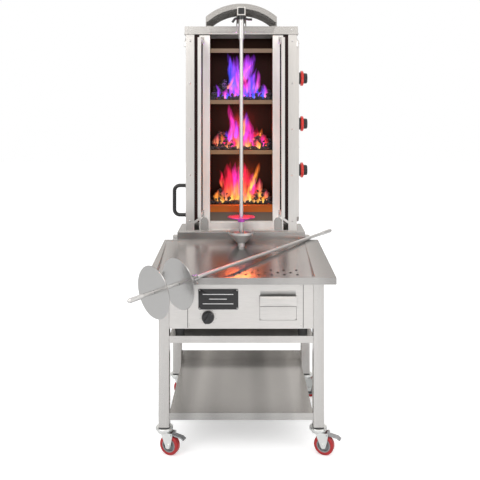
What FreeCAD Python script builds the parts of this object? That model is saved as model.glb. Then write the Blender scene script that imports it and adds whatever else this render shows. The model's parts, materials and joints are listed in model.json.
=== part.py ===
import FreeCAD, Part
import math
import os

V = FreeCAD.Vector

# A gas doner kebab grill on a wheeled stand, in millimetres.
# X runs to the right, Y to the back and Z up. While it is modelled, X = 0 is the
# spit's plane, Y = 0 the front of the front legs and Z = 0 the floor.

# Fits and gaps
RUN_GAP = 0.3
SHAFT_GAP = 0.05
SHEET = 2.0

# Stand
STAND_WIDTH = 614.0
STAND_DEPTH = 520.0
LEG = 40.0
LEG_WALL = 2.0
LEG_CORNER = 4.0
PLUG_FLANGE = 4.0
PLUG_LENGTH = 30.0
UPPER_SHELF_TOP = 442.0
LOWER_SHELF_TOP = 156.0
SHELF_EDGE = 26.0
SHELF_INSET = 4.0
UPSTAND_HEIGHT = 40.0

# Casters
CASTER_HEIGHT = 100.0
HEAD_RADIUS = 32.0
HEAD_HEIGHT = 15.0
KINGPIN_RADIUS = 6.0
CROWN_RADIUS = 24.0
CROWN_THICKNESS = 5.0
CASTER_TRAIL = 23.0
CASTER_TURN = -22.0
WHEEL_RADIUS = 37.5
WHEEL_WIDTH = 25.0
HUB_RADIUS = 26.0
AXLE_RADIUS = 5.0
CHEEK = 3.0
CHEEK_GAP = 2.0
PEDAL_REACH = 52.0
PEDAL_WIDTH = 22.0
PEDAL_PIN_RADIUS = 2.5
PEDAL_PIN_X = 36.0
PEDAL_PIN_Z = 79.0

# Base housing, drawer and drive
FOOT_RADIUS = 18.5
FOOT_HEIGHT = 27.0
HOUSING_FRONT = 5.0
PANEL_LEFT = -200.0
PANEL_RIGHT = 231.0
PANEL_SEAM = 1.0
DRAWER_LEFT = 69.0
DRAWER_RIGHT = 204.0
DRAWER_BOTTOM = 501.0
DRAWER_TOP = 592.0
DRAWER_GAP = 1.0
DRAWER_LENGTH = 292.0
DRAWER_SIDE_HEIGHT = 58.0
DRAWER_LIP_DROP = 18.0
DRAWER_LIP_REACH = 14.0
DRAWER_CORNER = 8.0
RUNNER_LEDGE = 9.0
KNOB_X = -123.5
KNOB_Z = 512.0
KNOB_RADIUS = 23.5
KNOB_HEIGHT = 22.0
KNOB_SHAFT_RADIUS = 4.0
SWITCH_SIZE = 38.0
SWITCH_DEPTH = 30.0
MOTOR_RADIUS = 42.0
MOTOR_LENGTH = 95.0
GEARBOX_WIDTH = 104.0
GEARBOX_DEPTH = 90.0
GEARBOX_HEIGHT = 62.0
GEARBOX_BOTTOM = 592.0
BRACKET_THICKNESS = 4.0

# Worktop tray and rear deck
TRAY_WIDTH = 700.0
TRAY_TAPER = 18.0
TRAY_FRONT = -20.0
TRAY_BACK = 392.0
RIM_TOP_FRONT = 664.0
RIM_TOP_BACK = 722.0
RIM_HEIGHT = 25.0
RIM_WIDTH = 12.0
WELL_LEFT = -321.0
WELL_RIGHT = 272.0
WELL_FLOOR_FRONT = 643.0
WELL_FLOOR_BACK = 719.0
DRAIN_RADIUS = 3.3
DRAIN_PITCH = 49.0
DRAIN_ROWS = ((57.0, -32.0, 6), (74.0, -8.0, 5), (95.0, 16.0, 5))
DECK_WIDTH = 554.0
DECK_BACK = 592.0
DECK_TOP = 757.0
DECK_CORNER = 4.0

# Burner tower
TOWER_WIDTH = 484.0
TOWER_FRONT = 408.0
TOWER_DEPTH = 143.0
POST_WIDTH = 37.0
POST_RETURN = 20.0
CAP_BOTTOM = 1613.0
CAP_TOP = 1648.5
CAP_OVERHANG = 5.0
CAP_LIP = 5.0
LINER_FLANGE = 46.0
LINER_BACK_GAP = 24.0
FLANGE_SETBACK = 4.0
WINDOW_WIDTH = 22.0
WINDOW_BOTTOM = 794.0
GLASS = 4.0
PARTITION_TOPS = (1552.0, 1328.0, 1109.0)
PARTITION_HEIGHT = 18.0
PARTITION_BAR = 6.0
PARTITION_SHEET = 3.0
BED_RISE = 115.0
LOWER_BED_SHEET = 3.0
COAL_HEIGHT = 22.0
COAL_COLUMNS = 8
COAL_ROWS = 3
COAL_DEPTH = 49.0
SLIDE_TRAVEL = 40.0
STUD_RADIUS = 6.0
STUD_INSET = 92.0

# Gas train on the right side
VALVE_Y = 480.0
VALVE_HEIGHTS = (1426.0, 1223.5, 1016.0)
COVER_DEPTH = 12.0
COVER_FRONT = 432.0
COVER_BACK = 528.0
COVER_BOTTOM = 790.0
COVER_TOP = 1590.0
COVER_CHAMFER = 24.0
COVER_SLOT_DROP = 40.0
COVER_SLOT_LENGTH = 70.0
COVER_SLOT_WIDTH = 8.0
COVER_SLOT_INSET = 14.0
VALVE_KNOB_RADIUS = 26.0
VALVE_RING_RADIUS = 33.5
VALVE_CAP_RADIUS = 23.0
VALVE_SKIRT_LENGTH = 10.0
VALVE_RING_LENGTH = 12.0
VALVE_CAP_LENGTH = 18.0
VALVE_STEM_RADIUS = 4.0
VALVE_BODY = 30.0
MANIFOLD_RADIUS = 9.0
MANIFOLD_BOTTOM = 805.0
INLET_RADIUS = 10.5
INLET_LENGTH = 28.0
BURNER_RADIUS = 8.0
BURNER_LIFT = 14.0

# Handle on the left side
HANDLE_Y = 452.0
HANDLE_BOTTOM = 820.0
HANDLE_TOP = 950.0
HANDLE_REACH = 54.0
HANDLE_RADIUS = 8.0
HANDLE_BEND = 24.0

# Arch, top arm and spit bearing
ARCH_HALF = 155.0
ARCH_WALL = 41.5
ARCH_RISE = 57.0
ARCH_FRONT_FLANGE = 22.0
ARCH_REAR_FLANGE = 33.0
ARCH_SHEET = 2.5
ARM = 35.0
ARM_WALL = 3.0
ARM_RISE = 33.5
ARM_NOSE = 20.0
ARM_BACK = 536.0
GUIDE_WALL = 4.0
GUIDE_LENGTH = 80.0
SLEEVE_RADIUS = 12.0
SLEEVE_DROP = 99.0
SLEEVE_SINK = 16.0
SLEEVE_BORE_DEPTH = 62.0
SLEEVE_LIFT = 25.0
LEVER_RING = 17.0
LEVER_HEIGHT = 16.0
LEVER_ARM = 5.0

# Spit
SPIT_Y = 331.0
SPIT_RADIUS = 8.25
SPIT_DISC_RADIUS = 59.0
SPIT_DISC_RISE = 60.0
DISC_SHEET = 3.0
DISC_HUB_RADIUS = 15.0
DISC_HUB_LENGTH = 20.0
CUP_RIM_RADIUS = 55.0
CUP_HEIGHT = 46.0
CUP_LIFT = 14.6
CUP_NECK_RADIUS = 21.0
CUP_WALL = 3.0
SPINDLE_RADIUS = 15.0
JOURNAL_RADIUS = 10.0
JOURNAL_DEPTH = 40.0
SPIT_ENTRY = 20.0

# Swing wings beside the fire
WING_PIN_INSET = 9.0
WING_PIN_SETBACK = 14.0
WING_PIN_RADIUS = 5.0
WING_THICKNESS = 14.0
WING_LENGTH = 128.0
WING_BOTTOM = 836.0
WING_TOP = 1585.0
WING_FRAME = 16.0
LUG_THICKNESS = 6.0
LUG_WIDTH = 24.0

# Spare spit lying across the worktop
SPARE_RADIUS = 7.0
SPARE_RIM_X = -143.0
SPARE_BACK_X = 292.0
SPARE_FRONT_END = 323.0
SPARE_BACK_END = 750.0
SPARE_DISC_RADIUS = 93.0
SPARE_DISC_PLACES = (-219.0, -113.0)
SPARE_COLLAR_PLACE = -38.0
SPARE_GRIP_LENGTH = 60.0
SPARE_GRIP_STEP = 1.5
SPARE_GRIP_TAPER = 6.0
SPARE_POINT = 8.0


# Sizes that follow from the ones above
LEG_INNER = STAND_WIDTH / 2 - LEG
LEG_CENTRE_X = STAND_WIDTH / 2 - LEG / 2
LEG_CENTRES_Y = (LEG / 2, STAND_DEPTH - LEG / 2)
HOUSING_BOTTOM = UPPER_SHELF_TOP + FOOT_HEIGHT
TOWER_BACK = TOWER_FRONT + TOWER_DEPTH
TOWER_BOTTOM = DECK_TOP + RUN_GAP
LINER_FRONT = TOWER_FRONT + FLANGE_SETBACK
LINER_BACK = TOWER_BACK - LINER_BACK_GAP
WINDOW_RIGHT = TOWER_WIDTH / 2 - POST_WIDTH
WINDOW_LEFT = WINDOW_RIGHT - WINDOW_WIDTH
LINER_HALF = WINDOW_LEFT - LINER_FLANGE
WING_PIN_X = WINDOW_LEFT - WING_PIN_INSET
STUD_X = TOWER_WIDTH / 2 - STUD_INSET
ARCH_SPRING = CAP_TOP + ARCH_WALL
ARCH_APEX = ARCH_SPRING + ARCH_RISE
WING_PIN_Y = LINER_FRONT - WING_PIN_SETBACK
ARM_FRONT = SPIT_Y - ARM_NOSE
COVER_FACE = TOWER_WIDTH / 2 + COVER_DEPTH
LOWER_BED = DECK_TOP + BED_RISE
ARM_BOTTOM = CAP_TOP + ARM_RISE
SLEEVE_BOTTOM = ARM_BOTTOM - SLEEVE_DROP
SLEEVE_TOP = ARM_BOTTOM + ARM - SLEEVE_SINK


def floor_under(y):
    """Height of the tray floor's underside at a place y."""
    share = (y - TRAY_FRONT - RIM_WIDTH) / (TRAY_BACK - TRAY_FRONT - 2 * RIM_WIDTH)
    return WELL_FLOOR_FRONT - SHEET + share * (WELL_FLOOR_BACK - WELL_FLOOR_FRONT)


def rim_top(y):
    """Height of the sloping flange and rim at a place y."""
    share = (y - TRAY_FRONT) / (TRAY_BACK - TRAY_FRONT)
    return RIM_TOP_FRONT + share * (RIM_TOP_BACK - RIM_TOP_FRONT)


DECK_BOTTOM = floor_under(TRAY_BACK)
CUP_BOTTOM = floor_under(SPIT_Y) + SHEET + CUP_LIFT
CUP_RIM = CUP_BOTTOM + CUP_HEIGHT
SPIT_DISC_HEIGHT = CUP_RIM + SPIT_DISC_RISE


def box(x0, x1, y0, y1, z0, z1):
    """A block between two corners."""
    return Part.makeBox(x1 - x0, y1 - y0, z1 - z0, V(x0, y0, z0))


def rod(radius, start, end):
    """A round bar from one point to another."""
    along = V(*end) - V(*start)
    return Part.makeCylinder(radius, along.Length, V(*start), along)


def prism_x(outline, x0, x1):
    """An outline of (y, z) points drawn out along X."""
    wire = Part.makePolygon([V(x0, y, z) for y, z in outline + outline[:1]])
    return Part.Face(wire).extrude(V(x1 - x0, 0, 0))


def prism_z(outline, z0, z1):
    """An outline of (x, y) points drawn out along Z."""
    wire = Part.makePolygon([V(x, y, z0) for x, y in outline + outline[:1]])
    return Part.Face(wire).extrude(V(0, 0, z1 - z0))


def revolve(outline, x, y):
    """An outline of (radius, z) points turned about the upright line at (x, y)."""
    wire = Part.makePolygon([V(r, 0, z) for r, z in outline + outline[:1]])
    solid = Part.Face(wire).revolve(V(0, 0, 0), V(0, 0, 1), 360)
    solid.translate(V(x, y, 0))
    return solid


def mirror_x(shape):
    """The same shape on the other side of the spit's plane."""
    return shape.mirror(V(0, 0, 0), V(1, 0, 0))


def fuse(first, *others):
    """One solid from several that touch or overlap."""
    return first.fuse(list(others)).removeSplitter()


def upright_edges(shape):
    """The straight edges that run along Z."""
    return [e for e in shape.Edges
            if len(e.Vertexes) == 2
            and abs(e.tangentAt(e.FirstParameter).z) > 0.999]


def leg(centre_x, centre_y):
    """A square tube with round corners, cut at the top to the tray's slope."""
    front = centre_y - LEG / 2
    back = centre_y + LEG / 2
    bottom = CASTER_HEIGHT + PLUG_FLANGE
    top_front = min(floor_under(front), DECK_BOTTOM)
    top_back = min(floor_under(back), DECK_BOTTOM)
    outline = [(front, bottom), (back, bottom), (back, top_back), (front, top_front)]
    tube = prism_x(outline, centre_x - LEG / 2, centre_x + LEG / 2)
    tube = tube.makeFillet(LEG_CORNER, upright_edges(tube))
    bore = box(centre_x - LEG / 2 + LEG_WALL, centre_x + LEG / 2 - LEG_WALL,
               front + LEG_WALL, back - LEG_WALL, bottom, top_front - LEG_WALL)
    bore = bore.makeFillet(LEG_CORNER - LEG_WALL, upright_edges(bore))
    return tube.cut(bore)


def leg_plug(centre_x, centre_y):
    """A plastic plug in a leg's lower end, with a flange under the tube."""
    half = LEG / 2
    bottom = CASTER_HEIGHT
    flange = box(centre_x - half, centre_x + half, centre_y - half, centre_y + half,
                 bottom, bottom + PLUG_FLANGE)
    flange = flange.makeFillet(LEG_CORNER, upright_edges(flange))
    inner = half - LEG_WALL
    stem = box(centre_x - inner, centre_x + inner, centre_y - inner, centre_y + inner,
               bottom + PLUG_FLANGE, bottom + PLUG_FLANGE + PLUG_LENGTH)
    stem = stem.makeFillet(LEG_CORNER - LEG_WALL, upright_edges(stem))
    return fuse(flange, stem)


def shelf(top, upstand):
    """A folded sheet between the legs, notched round nothing and open below."""
    front = SHELF_INSET
    back = STAND_DEPTH - SHELF_INSET
    half = LEG_INNER
    block = box(-half, half, front, back, top - SHELF_EDGE, top)
    hollow = box(-half + SHEET, half - SHEET, front + SHEET, back - SHEET,
                 top - SHELF_EDGE, top - SHEET)
    block = block.cut(hollow)
    if upstand > 0:
        wall = box(-half, half, back - SHEET, back, top - SHELF_EDGE, top + upstand)
        block = fuse(block, wall)
    return block


def stand():
    """The four legs, their plugs and the two shelves."""
    corners = [(side * LEG_CENTRE_X, y) for y in LEG_CENTRES_Y for side in (-1, 1)]
    save("stand_legs", *[leg(x, y) for x, y in corners])
    save("leg_plugs", *[leg_plug(x, y) for x, y in corners])
    save("upper_shelf", shelf(UPPER_SHELF_TOP, 0))
    save("lower_shelf", shelf(LOWER_SHELF_TOP, UPSTAND_HEIGHT))


def caster_head(centre_x, centre_y):
    """The fixed dish over the swivel, with its kingpin riveted below the crown."""
    top = CASTER_HEIGHT
    bottom = top - HEAD_HEIGHT
    dish = [(0, bottom), (HEAD_RADIUS - 6, bottom), (HEAD_RADIUS, bottom + 6),
            (HEAD_RADIUS, top - 2), (HEAD_RADIUS - 2, top), (0, top)]
    head = revolve(dish, centre_x, centre_y)
    crown_low = bottom - RUN_GAP - CROWN_THICKNESS
    pin = rod(KINGPIN_RADIUS, (centre_x, centre_y, crown_low - RUN_GAP - 1.5),
              (centre_x, centre_y, bottom))
    rivet = rod(KINGPIN_RADIUS + 2, (centre_x, centre_y, crown_low - RUN_GAP - 2),
                (centre_x, centre_y, crown_low - RUN_GAP))
    return fuse(head, pin, rivet)


def turned(shape, centre_x, centre_y):
    """A caster piece drawn trailing along +X at the origin, put in its place."""
    copy = shape.copy()
    copy.rotate(V(0, 0, 0), V(0, 0, 1), CASTER_TURN)
    copy.translate(V(centre_x, centre_y, 0))
    return copy


def caster_fork(braked):
    """The folded fork: a crown on the kingpin and two cheeks down to the axle."""
    crown_top = CASTER_HEIGHT - HEAD_HEIGHT - RUN_GAP
    crown_low = crown_top - CROWN_THICKNESS
    inner = WHEEL_WIDTH / 2 + CHEEK_GAP
    crown = rod(CROWN_RADIUS, (0, 0, crown_low), (0, 0, crown_top))
    nose = box(0, PEDAL_PIN_X - 8, -inner - CHEEK, inner + CHEEK, crown_low, crown_top)
    bore = rod(KINGPIN_RADIUS + SHAFT_GAP, (0, 0, crown_low - 1), (0, 0, crown_top + 1))
    boss = 11.0
    ear = PEDAL_PIN_X + 5
    outline = [(-8, crown_top), (ear, crown_top), (ear, PEDAL_PIN_Z - 6),
               (CASTER_TRAIL + boss, WHEEL_RADIUS), (CASTER_TRAIL + 6, WHEEL_RADIUS - boss + 2),
               (CASTER_TRAIL - 6, WHEEL_RADIUS - boss + 2), (CASTER_TRAIL - boss, WHEEL_RADIUS)]
    cheeks = []
    for side in (-1, 1):
        low = side * inner if side > 0 else -inner - CHEEK
        wire = Part.makePolygon([V(x, low, z) for x, z in outline + outline[:1]])
        cheeks.append(Part.Face(wire).extrude(V(0, CHEEK, 0)))
    reach = inner + CHEEK + 1
    axle_hole = rod(AXLE_RADIUS + SHAFT_GAP, (CASTER_TRAIL, -reach, WHEEL_RADIUS),
                    (CASTER_TRAIL, reach, WHEEL_RADIUS))
    fork = fuse(crown, nose, *cheeks).cut(bore).cut(axle_hole)
    if braked:
        fork = fork.cut(rod(PEDAL_PIN_RADIUS + SHAFT_GAP, (PEDAL_PIN_X, -reach, PEDAL_PIN_Z),
                            (PEDAL_PIN_X, reach, PEDAL_PIN_Z)))
    return fork


def caster_axle():
    """The wheel bolt across the fork, with a hexagon head and nut outside the cheeks."""
    reach = WHEEL_WIDTH / 2 + CHEEK_GAP + CHEEK
    centre = (CASTER_TRAIL, WHEEL_RADIUS)
    bolt = rod(AXLE_RADIUS, (centre[0], -reach, centre[1]), (centre[0], reach, centre[1]))
    heads = [rod(AXLE_RADIUS + 3, (centre[0], side * reach, centre[1]),
                 (centre[0], side * (reach + 4), centre[1])) for side in (-1, 1)]
    return fuse(bolt, *heads)


def wheel_ring(outer, inner, width, edge):
    """A ring about the wheel's axle with bevelled outer edges."""
    half = width / 2
    outline = [(inner, -half), (outer - edge, -half), (outer, -half + edge),
               (outer, half - edge), (outer - edge, half), (inner, half)]
    ring = revolve(outline, 0, 0)
    ring.rotate(V(0, 0, 0), V(1, 0, 0), 90)
    ring.translate(V(CASTER_TRAIL, 0, WHEEL_RADIUS))
    return ring


def caster_hub():
    """The wheel centre: a rim, a thin web and a long boss on the axle."""
    rim = wheel_ring(HUB_RADIUS, HUB_RADIUS - 4, WHEEL_WIDTH - 2, 0.5)
    web = wheel_ring(HUB_RADIUS - 3, AXLE_RADIUS + SHAFT_GAP, 6, 0.5)
    boss = wheel_ring(AXLE_RADIUS + 5, AXLE_RADIUS + SHAFT_GAP,
                      WHEEL_WIDTH + 2 * CHEEK_GAP - 2 * RUN_GAP, 0.5)
    return fuse(rim, web, boss)


def brake_pedal():
    """The foot lever over a braked wheel: a hinge barrel and a dished plate."""
    inner = WHEEL_WIDTH / 2 + CHEEK_GAP
    barrel = rod(4, (PEDAL_PIN_X, -inner + RUN_GAP, PEDAL_PIN_Z),
                 (PEDAL_PIN_X, inner - RUN_GAP, PEDAL_PIN_Z))
    pin = rod(PEDAL_PIN_RADIUS, (PEDAL_PIN_X, -inner - CHEEK, PEDAL_PIN_Z),
              (PEDAL_PIN_X, inner + CHEEK, PEDAL_PIN_Z))
    end = PEDAL_PIN_X + PEDAL_REACH
    outline = [(PEDAL_PIN_X, PEDAL_PIN_Z + 1), (end - 14, PEDAL_PIN_Z - 4), (end - 2, PEDAL_PIN_Z - 12),
               (end - 4, PEDAL_PIN_Z - 15), (end - 16, PEDAL_PIN_Z - 8), (PEDAL_PIN_X, PEDAL_PIN_Z - 3)]
    wire = Part.makePolygon([V(x, -PEDAL_WIDTH / 2, z) for x, z in outline + outline[:1]])
    plate = Part.Face(wire).extrude(V(0, PEDAL_WIDTH, 0))
    return fuse(plate, barrel, pin)


def casters():
    """Four swivel casters, the two at the front with a brake pedal."""
    corners = {"front_left": (-1, 0), "front_right": (1, 0),
               "rear_left": (-1, 1), "rear_right": (1, 1)}
    heads = []
    for name, (side, row) in corners.items():
        x = side * LEG_CENTRE_X
        y = LEG_CENTRES_Y[row]
        heads.append(caster_head(x, y))
        save("caster_fork_" + name, turned(caster_fork(row == 0), x, y), turned(caster_axle(), x, y))
        tyre = wheel_ring(WHEEL_RADIUS, HUB_RADIUS, WHEEL_WIDTH, 4)
        save("caster_tyre_" + name, turned(tyre, x, y))
        save("caster_hub_" + name, turned(caster_hub(), x, y))
        if row == 0:
            save("brake_pedal_" + name, turned(brake_pedal(), x, y))
    save("caster_heads", *heads)


def base_housing():
    """The sheet housing under the tray: floor, sides, back, and front strips beside the panel."""
    half = LEG_INNER
    front = HOUSING_FRONT
    back = DECK_BACK
    low = HOUSING_BOTTOM
    top_front = floor_under(front)
    outline = [(front, low), (back, low), (back, DECK_BOTTOM),
               (TRAY_BACK, DECK_BOTTOM), (front, top_front)]
    block = prism_x(outline, -half, half)
    lift = DECK_BOTTOM - top_front
    inner = [(front + SHEET, low + SHEET), (back - SHEET, low + SHEET),
             (back - SHEET, DECK_BOTTOM + lift), (front + SHEET, DECK_BOTTOM + lift)]
    block = block.cut(prism_x(inner, -half + SHEET, half - SHEET))
    window = box(PANEL_LEFT, PANEL_RIGHT, front - 1, front + SHEET + 1, low + SHEET, DECK_BOTTOM)
    block = block.cut(window)
    seam_back = front + 2 * SHEET
    lip = 12.0
    lips = [box(PANEL_LEFT - lip, PANEL_LEFT + lip, front + SHEET, seam_back, low + SHEET, top_front),
            box(PANEL_RIGHT - lip, PANEL_RIGHT + lip, front + SHEET, seam_back, low + SHEET, top_front)]
    return fuse(block, *lips)


def front_panel():
    """The plate with the drawer's opening and the switch's shaft hole."""
    front = HOUSING_FRONT
    low = HOUSING_BOTTOM + SHEET
    top = floor_under(front)
    plate = box(PANEL_LEFT + PANEL_SEAM, PANEL_RIGHT - PANEL_SEAM, front, front + SHEET, low, top)
    opening = box(DRAWER_LEFT - DRAWER_GAP, DRAWER_RIGHT + DRAWER_GAP, front - 1, front + SHEET + 1,
                  DRAWER_BOTTOM - DRAWER_GAP, DRAWER_TOP + DRAWER_GAP)
    hole = rod(KNOB_SHAFT_RADIUS + 1, (KNOB_X, front - 1, KNOB_Z), (KNOB_X, front + SHEET + 1, KNOB_Z))
    return plate.cut(opening).cut(hole)


def drawer():
    """The fat drawer: an open sheet box behind a front with a lip folded forward as its grip."""
    front = HOUSING_FRONT
    runner = DRAWER_LEFT + 2 * SHEET
    left = runner + 2 * RUN_GAP
    right = DRAWER_RIGHT - 2 * SHEET - 2 * RUN_GAP
    low = DRAWER_BOTTOM + SHEET + RUN_GAP
    high = low + DRAWER_SIDE_HEIGHT
    body = box(left, right, front + SHEET, front + SHEET + DRAWER_LENGTH, low, high)
    hollow = box(left + SHEET, right - SHEET, front + 2 * SHEET, front + DRAWER_LENGTH,
                 low + SHEET, high)
    save("drawer_box", body.cut(hollow))
    plate = box(DRAWER_LEFT, DRAWER_RIGHT, front, front + SHEET, DRAWER_BOTTOM, DRAWER_TOP)
    corners = [e for e in plate.Edges
               if abs(e.tangentAt(e.FirstParameter).y) > 0.999 and e.CenterOfMass.z < DRAWER_BOTTOM + 1]
    plate = plate.makeFillet(DRAWER_CORNER, corners)
    lip_low = DRAWER_TOP - DRAWER_LIP_DROP
    reach = DRAWER_LIP_REACH
    outline = [(front, DRAWER_TOP), (front - reach + 4, DRAWER_TOP), (front - reach, DRAWER_TOP - 4),
               (front - reach, lip_low), (front - reach + SHEET, lip_low),
               (front - reach + SHEET, DRAWER_TOP - 5), (front - reach + 5, DRAWER_TOP - SHEET),
               (front, DRAWER_TOP - SHEET)]
    save("drawer_front", fuse(plate, prism_x(outline, DRAWER_LEFT, DRAWER_RIGHT)))


def drawer_runners():
    """Two rails on the housing floor that carry the drawer on a ledge."""
    start = HOUSING_FRONT + 2 * SHEET + 1
    end = start + DRAWER_LENGTH + 10
    low = HOUSING_BOTTOM + SHEET
    ledge_top = DRAWER_BOTTOM + SHEET
    side_top = ledge_top + DRAWER_SIDE_HEIGHT / 2
    left = DRAWER_LEFT + SHEET
    right = DRAWER_RIGHT - SHEET
    rails = []
    for wall, way in ((left, 1), (right, -1)):
        x0, x1 = sorted((wall, wall + way * SHEET))
        rail = box(x0, x1, start, end, low, side_top)
        y0, y1 = sorted((wall, wall + way * (SHEET + RUNNER_LEDGE)))
        ledge = box(y0, y1, start, end, ledge_top - SHEET, ledge_top)
        foot = box(y0, y1, start, end, low, low + SHEET)
        rails.append(fuse(rail, ledge, foot))
    save("drawer_runners", *rails)


def rubber_feet():
    """Four tapered feet between the upper shelf and the housing."""
    feet = []
    for y in (HOUSING_FRONT + FOOT_RADIUS + 6, STAND_DEPTH - FOOT_RADIUS - 12):
        for side in (-1, 1):
            x = side * (LEG_INNER - 2 * FOOT_RADIUS)
            outline = [(0, UPPER_SHELF_TOP), (FOOT_RADIUS - 2, UPPER_SHELF_TOP),
                       (FOOT_RADIUS, HOUSING_BOTTOM - 4), (FOOT_RADIUS, HOUSING_BOTTOM),
                       (0, HOUSING_BOTTOM)]
            feet.append(revolve(outline, x, y))
    save("rubber_feet", *feet)


def control_switch():
    """The rotary switch behind the panel, with a blind hole for the knob's shaft."""
    back = HOUSING_FRONT + SHEET
    half = SWITCH_SIZE / 2
    body = box(KNOB_X - half, KNOB_X + half, back, back + SWITCH_DEPTH, KNOB_Z - half, KNOB_Z + half)
    body = body.makeChamfer(3, body.Edges)
    hole = rod(KNOB_SHAFT_RADIUS + SHAFT_GAP, (KNOB_X, back - 1, KNOB_Z),
               (KNOB_X, back + SWITCH_DEPTH - 8, KNOB_Z))
    return body.cut(hole)


def control_knob():
    """A round knob with a raised grip bar across its face and its shaft behind."""
    back = HOUSING_FRONT - RUN_GAP
    outline = [(0, 0), (KNOB_RADIUS, 0), (KNOB_RADIUS, 6), (KNOB_RADIUS - 2, KNOB_HEIGHT - 8),
               (KNOB_RADIUS - 4, KNOB_HEIGHT - 6), (0, KNOB_HEIGHT - 6)]
    knob = revolve(outline, 0, 0)
    grip = box(-5, 5, -KNOB_RADIUS + 3, KNOB_RADIUS - 3, KNOB_HEIGHT - 8, KNOB_HEIGHT)
    shaft_end = SHEET + SWITCH_DEPTH - 10
    shaft = rod(KNOB_SHAFT_RADIUS, (0, 0, -shaft_end), (0, 0, 1))
    knob = fuse(knob, grip, shaft)
    knob.rotate(V(0, 0, 0), V(1, 0, 0), 90)
    knob.rotate(V(0, 0, 0), V(0, 1, 0), 35)
    knob.translate(V(KNOB_X, back, KNOB_Z))
    return knob


def gear_motor():
    """The spit drive: a ribbed motor below and a gearbox with a blind bore for the spindle."""
    top = GEARBOX_BOTTOM + GEARBOX_HEIGHT
    box_half = GEARBOX_WIDTH / 2
    case = box(-box_half, box_half, SPIT_Y - GEARBOX_DEPTH / 2, SPIT_Y + GEARBOX_DEPTH / 2,
               GEARBOX_BOTTOM, top)
    case = case.makeFillet(8, upright_edges(case))
    bore = rod(JOURNAL_RADIUS + SHAFT_GAP, (0, SPIT_Y, top - JOURNAL_DEPTH - 1), (0, SPIT_Y, top + 1))
    low = GEARBOX_BOTTOM - MOTOR_LENGTH
    radius = MOTOR_RADIUS
    outline = [(0, low), (radius - 6, low), (radius, low + 6)]
    ribs = 5
    pitch = (MOTOR_LENGTH - 20) / ribs
    for step in range(ribs):
        z = low + 10 + step * pitch
        outline += [(radius, z), (radius - 3, z + 1), (radius - 3, z + pitch / 2),
                    (radius, z + pitch / 2 + 1)]
    outline += [(radius, GEARBOX_BOTTOM + 1), (0, GEARBOX_BOTTOM + 1)]
    return fuse(case.cut(bore), revolve(outline, 0, SPIT_Y))


def motor_bracket():
    """A bridge on the housing floor that carries the gearbox over the hanging motor."""
    half = GEARBOX_WIDTH / 2 + 4
    y0 = SPIT_Y - GEARBOX_DEPTH / 2 - 6
    y1 = SPIT_Y + GEARBOX_DEPTH / 2 + 6
    low = HOUSING_BOTTOM + SHEET
    top = GEARBOX_BOTTOM
    block = box(-half, half, y0, y1, low, top)
    under = box(-half + BRACKET_THICKNESS, half - BRACKET_THICKNESS, y0 - 1, y1 + 1,
                low - 1, top - BRACKET_THICKNESS)
    hole = rod(MOTOR_RADIUS + 1, (0, SPIT_Y, low), (0, SPIT_Y, top + 1))
    return block.cut(under).cut(hole)


def worktop_tray():
    """The drip tray: a sloping well, flanges beside it, and a skirt folded down on three sides."""
    half = TRAY_WIDTH / 2
    back_half = half - TRAY_TAPER
    front = TRAY_FRONT
    back = TRAY_BACK
    drop = RIM_HEIGHT
    outer = prism_x([(front, rim_top(front) - drop), (back, rim_top(back) - drop),
                     (back, rim_top(back)), (front, rim_top(front))], -half, half)
    low = rim_top(front) - 2 * drop
    high = rim_top(back) + drop
    outer = outer.common(prism_z([(-half, front), (half, front), (back_half, back),
                                  (-back_half, back)], low, high))
    pocket = prism_x([(front, low), (back, low), (back, rim_top(back) - SHEET),
                      (front, rim_top(front) - SHEET)], -half, half)
    inset = SHEET
    pocket = pocket.common(prism_z([(-half + inset, front + inset), (half - inset, front + inset),
                                    (back_half - inset, back), (-back_half + inset, back)], low, high))
    well_front = front + RIM_WIDTH
    well_back = back - RIM_WIDTH
    well_low = WELL_FLOOR_FRONT
    well_high = WELL_FLOOR_BACK
    tub_front = well_front - SHEET
    tub_back = well_back + SHEET
    tub = prism_x([(tub_front, floor_under(tub_front)), (tub_back, floor_under(tub_back)),
                   (tub_back, high), (tub_front, high)], WELL_LEFT - SHEET, WELL_RIGHT + SHEET)
    well = prism_x([(well_front, well_low), (well_back, well_high), (well_back, high + 1),
                    (well_front, high + 1)], WELL_LEFT, WELL_RIGHT)
    tray = outer.cut(pocket.cut(tub)).cut(well)
    holes = []
    for y, start, count in DRAIN_ROWS:
        for number in range(round(count)):
            x = start + number * DRAIN_PITCH
            z = floor_under(y)
            holes.append(rod(DRAIN_RADIUS, (x, y, z - 4 * SHEET), (x, y, z + 4 * SHEET)))
    z = floor_under(SPIT_Y)
    holes.append(rod(SPINDLE_RADIUS + 2, (0, SPIT_Y, z - 10), (0, SPIT_Y, z + 10)))
    return tray.cut(Part.makeCompound(holes))


def rear_deck():
    """The raised deck behind the tray, slotted for the tower's two guide studs."""
    half = DECK_WIDTH / 2
    block = box(-half, half, TRAY_BACK, DECK_BACK, DECK_BOTTOM, DECK_TOP)
    edges = [e for e in block.Edges if e.CenterOfMass.z > DECK_TOP - 1]
    block = block.makeFillet(DECK_CORNER, edges)
    block = block.cut(box(-half + SHEET, half - SHEET, TRAY_BACK + SHEET, DECK_BACK - SHEET,
                          DECK_BOTTOM - 1, DECK_TOP - SHEET))
    for side in (-1, 1):
        x = side * STUD_X
        start = stud_y() - STUD_RADIUS - 1
        block = block.cut(box(x - STUD_RADIUS - RUN_GAP, x + STUD_RADIUS + RUN_GAP, start,
                              start + SLIDE_TRAVEL + 2 * STUD_RADIUS + 2,
                              DECK_TOP - SHEET - 1, DECK_TOP + 1))
    return block


def stud_y():
    """Place along Y of the tower's guide studs at rest."""
    return TOWER_FRONT + 0.35 * TOWER_DEPTH


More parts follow.
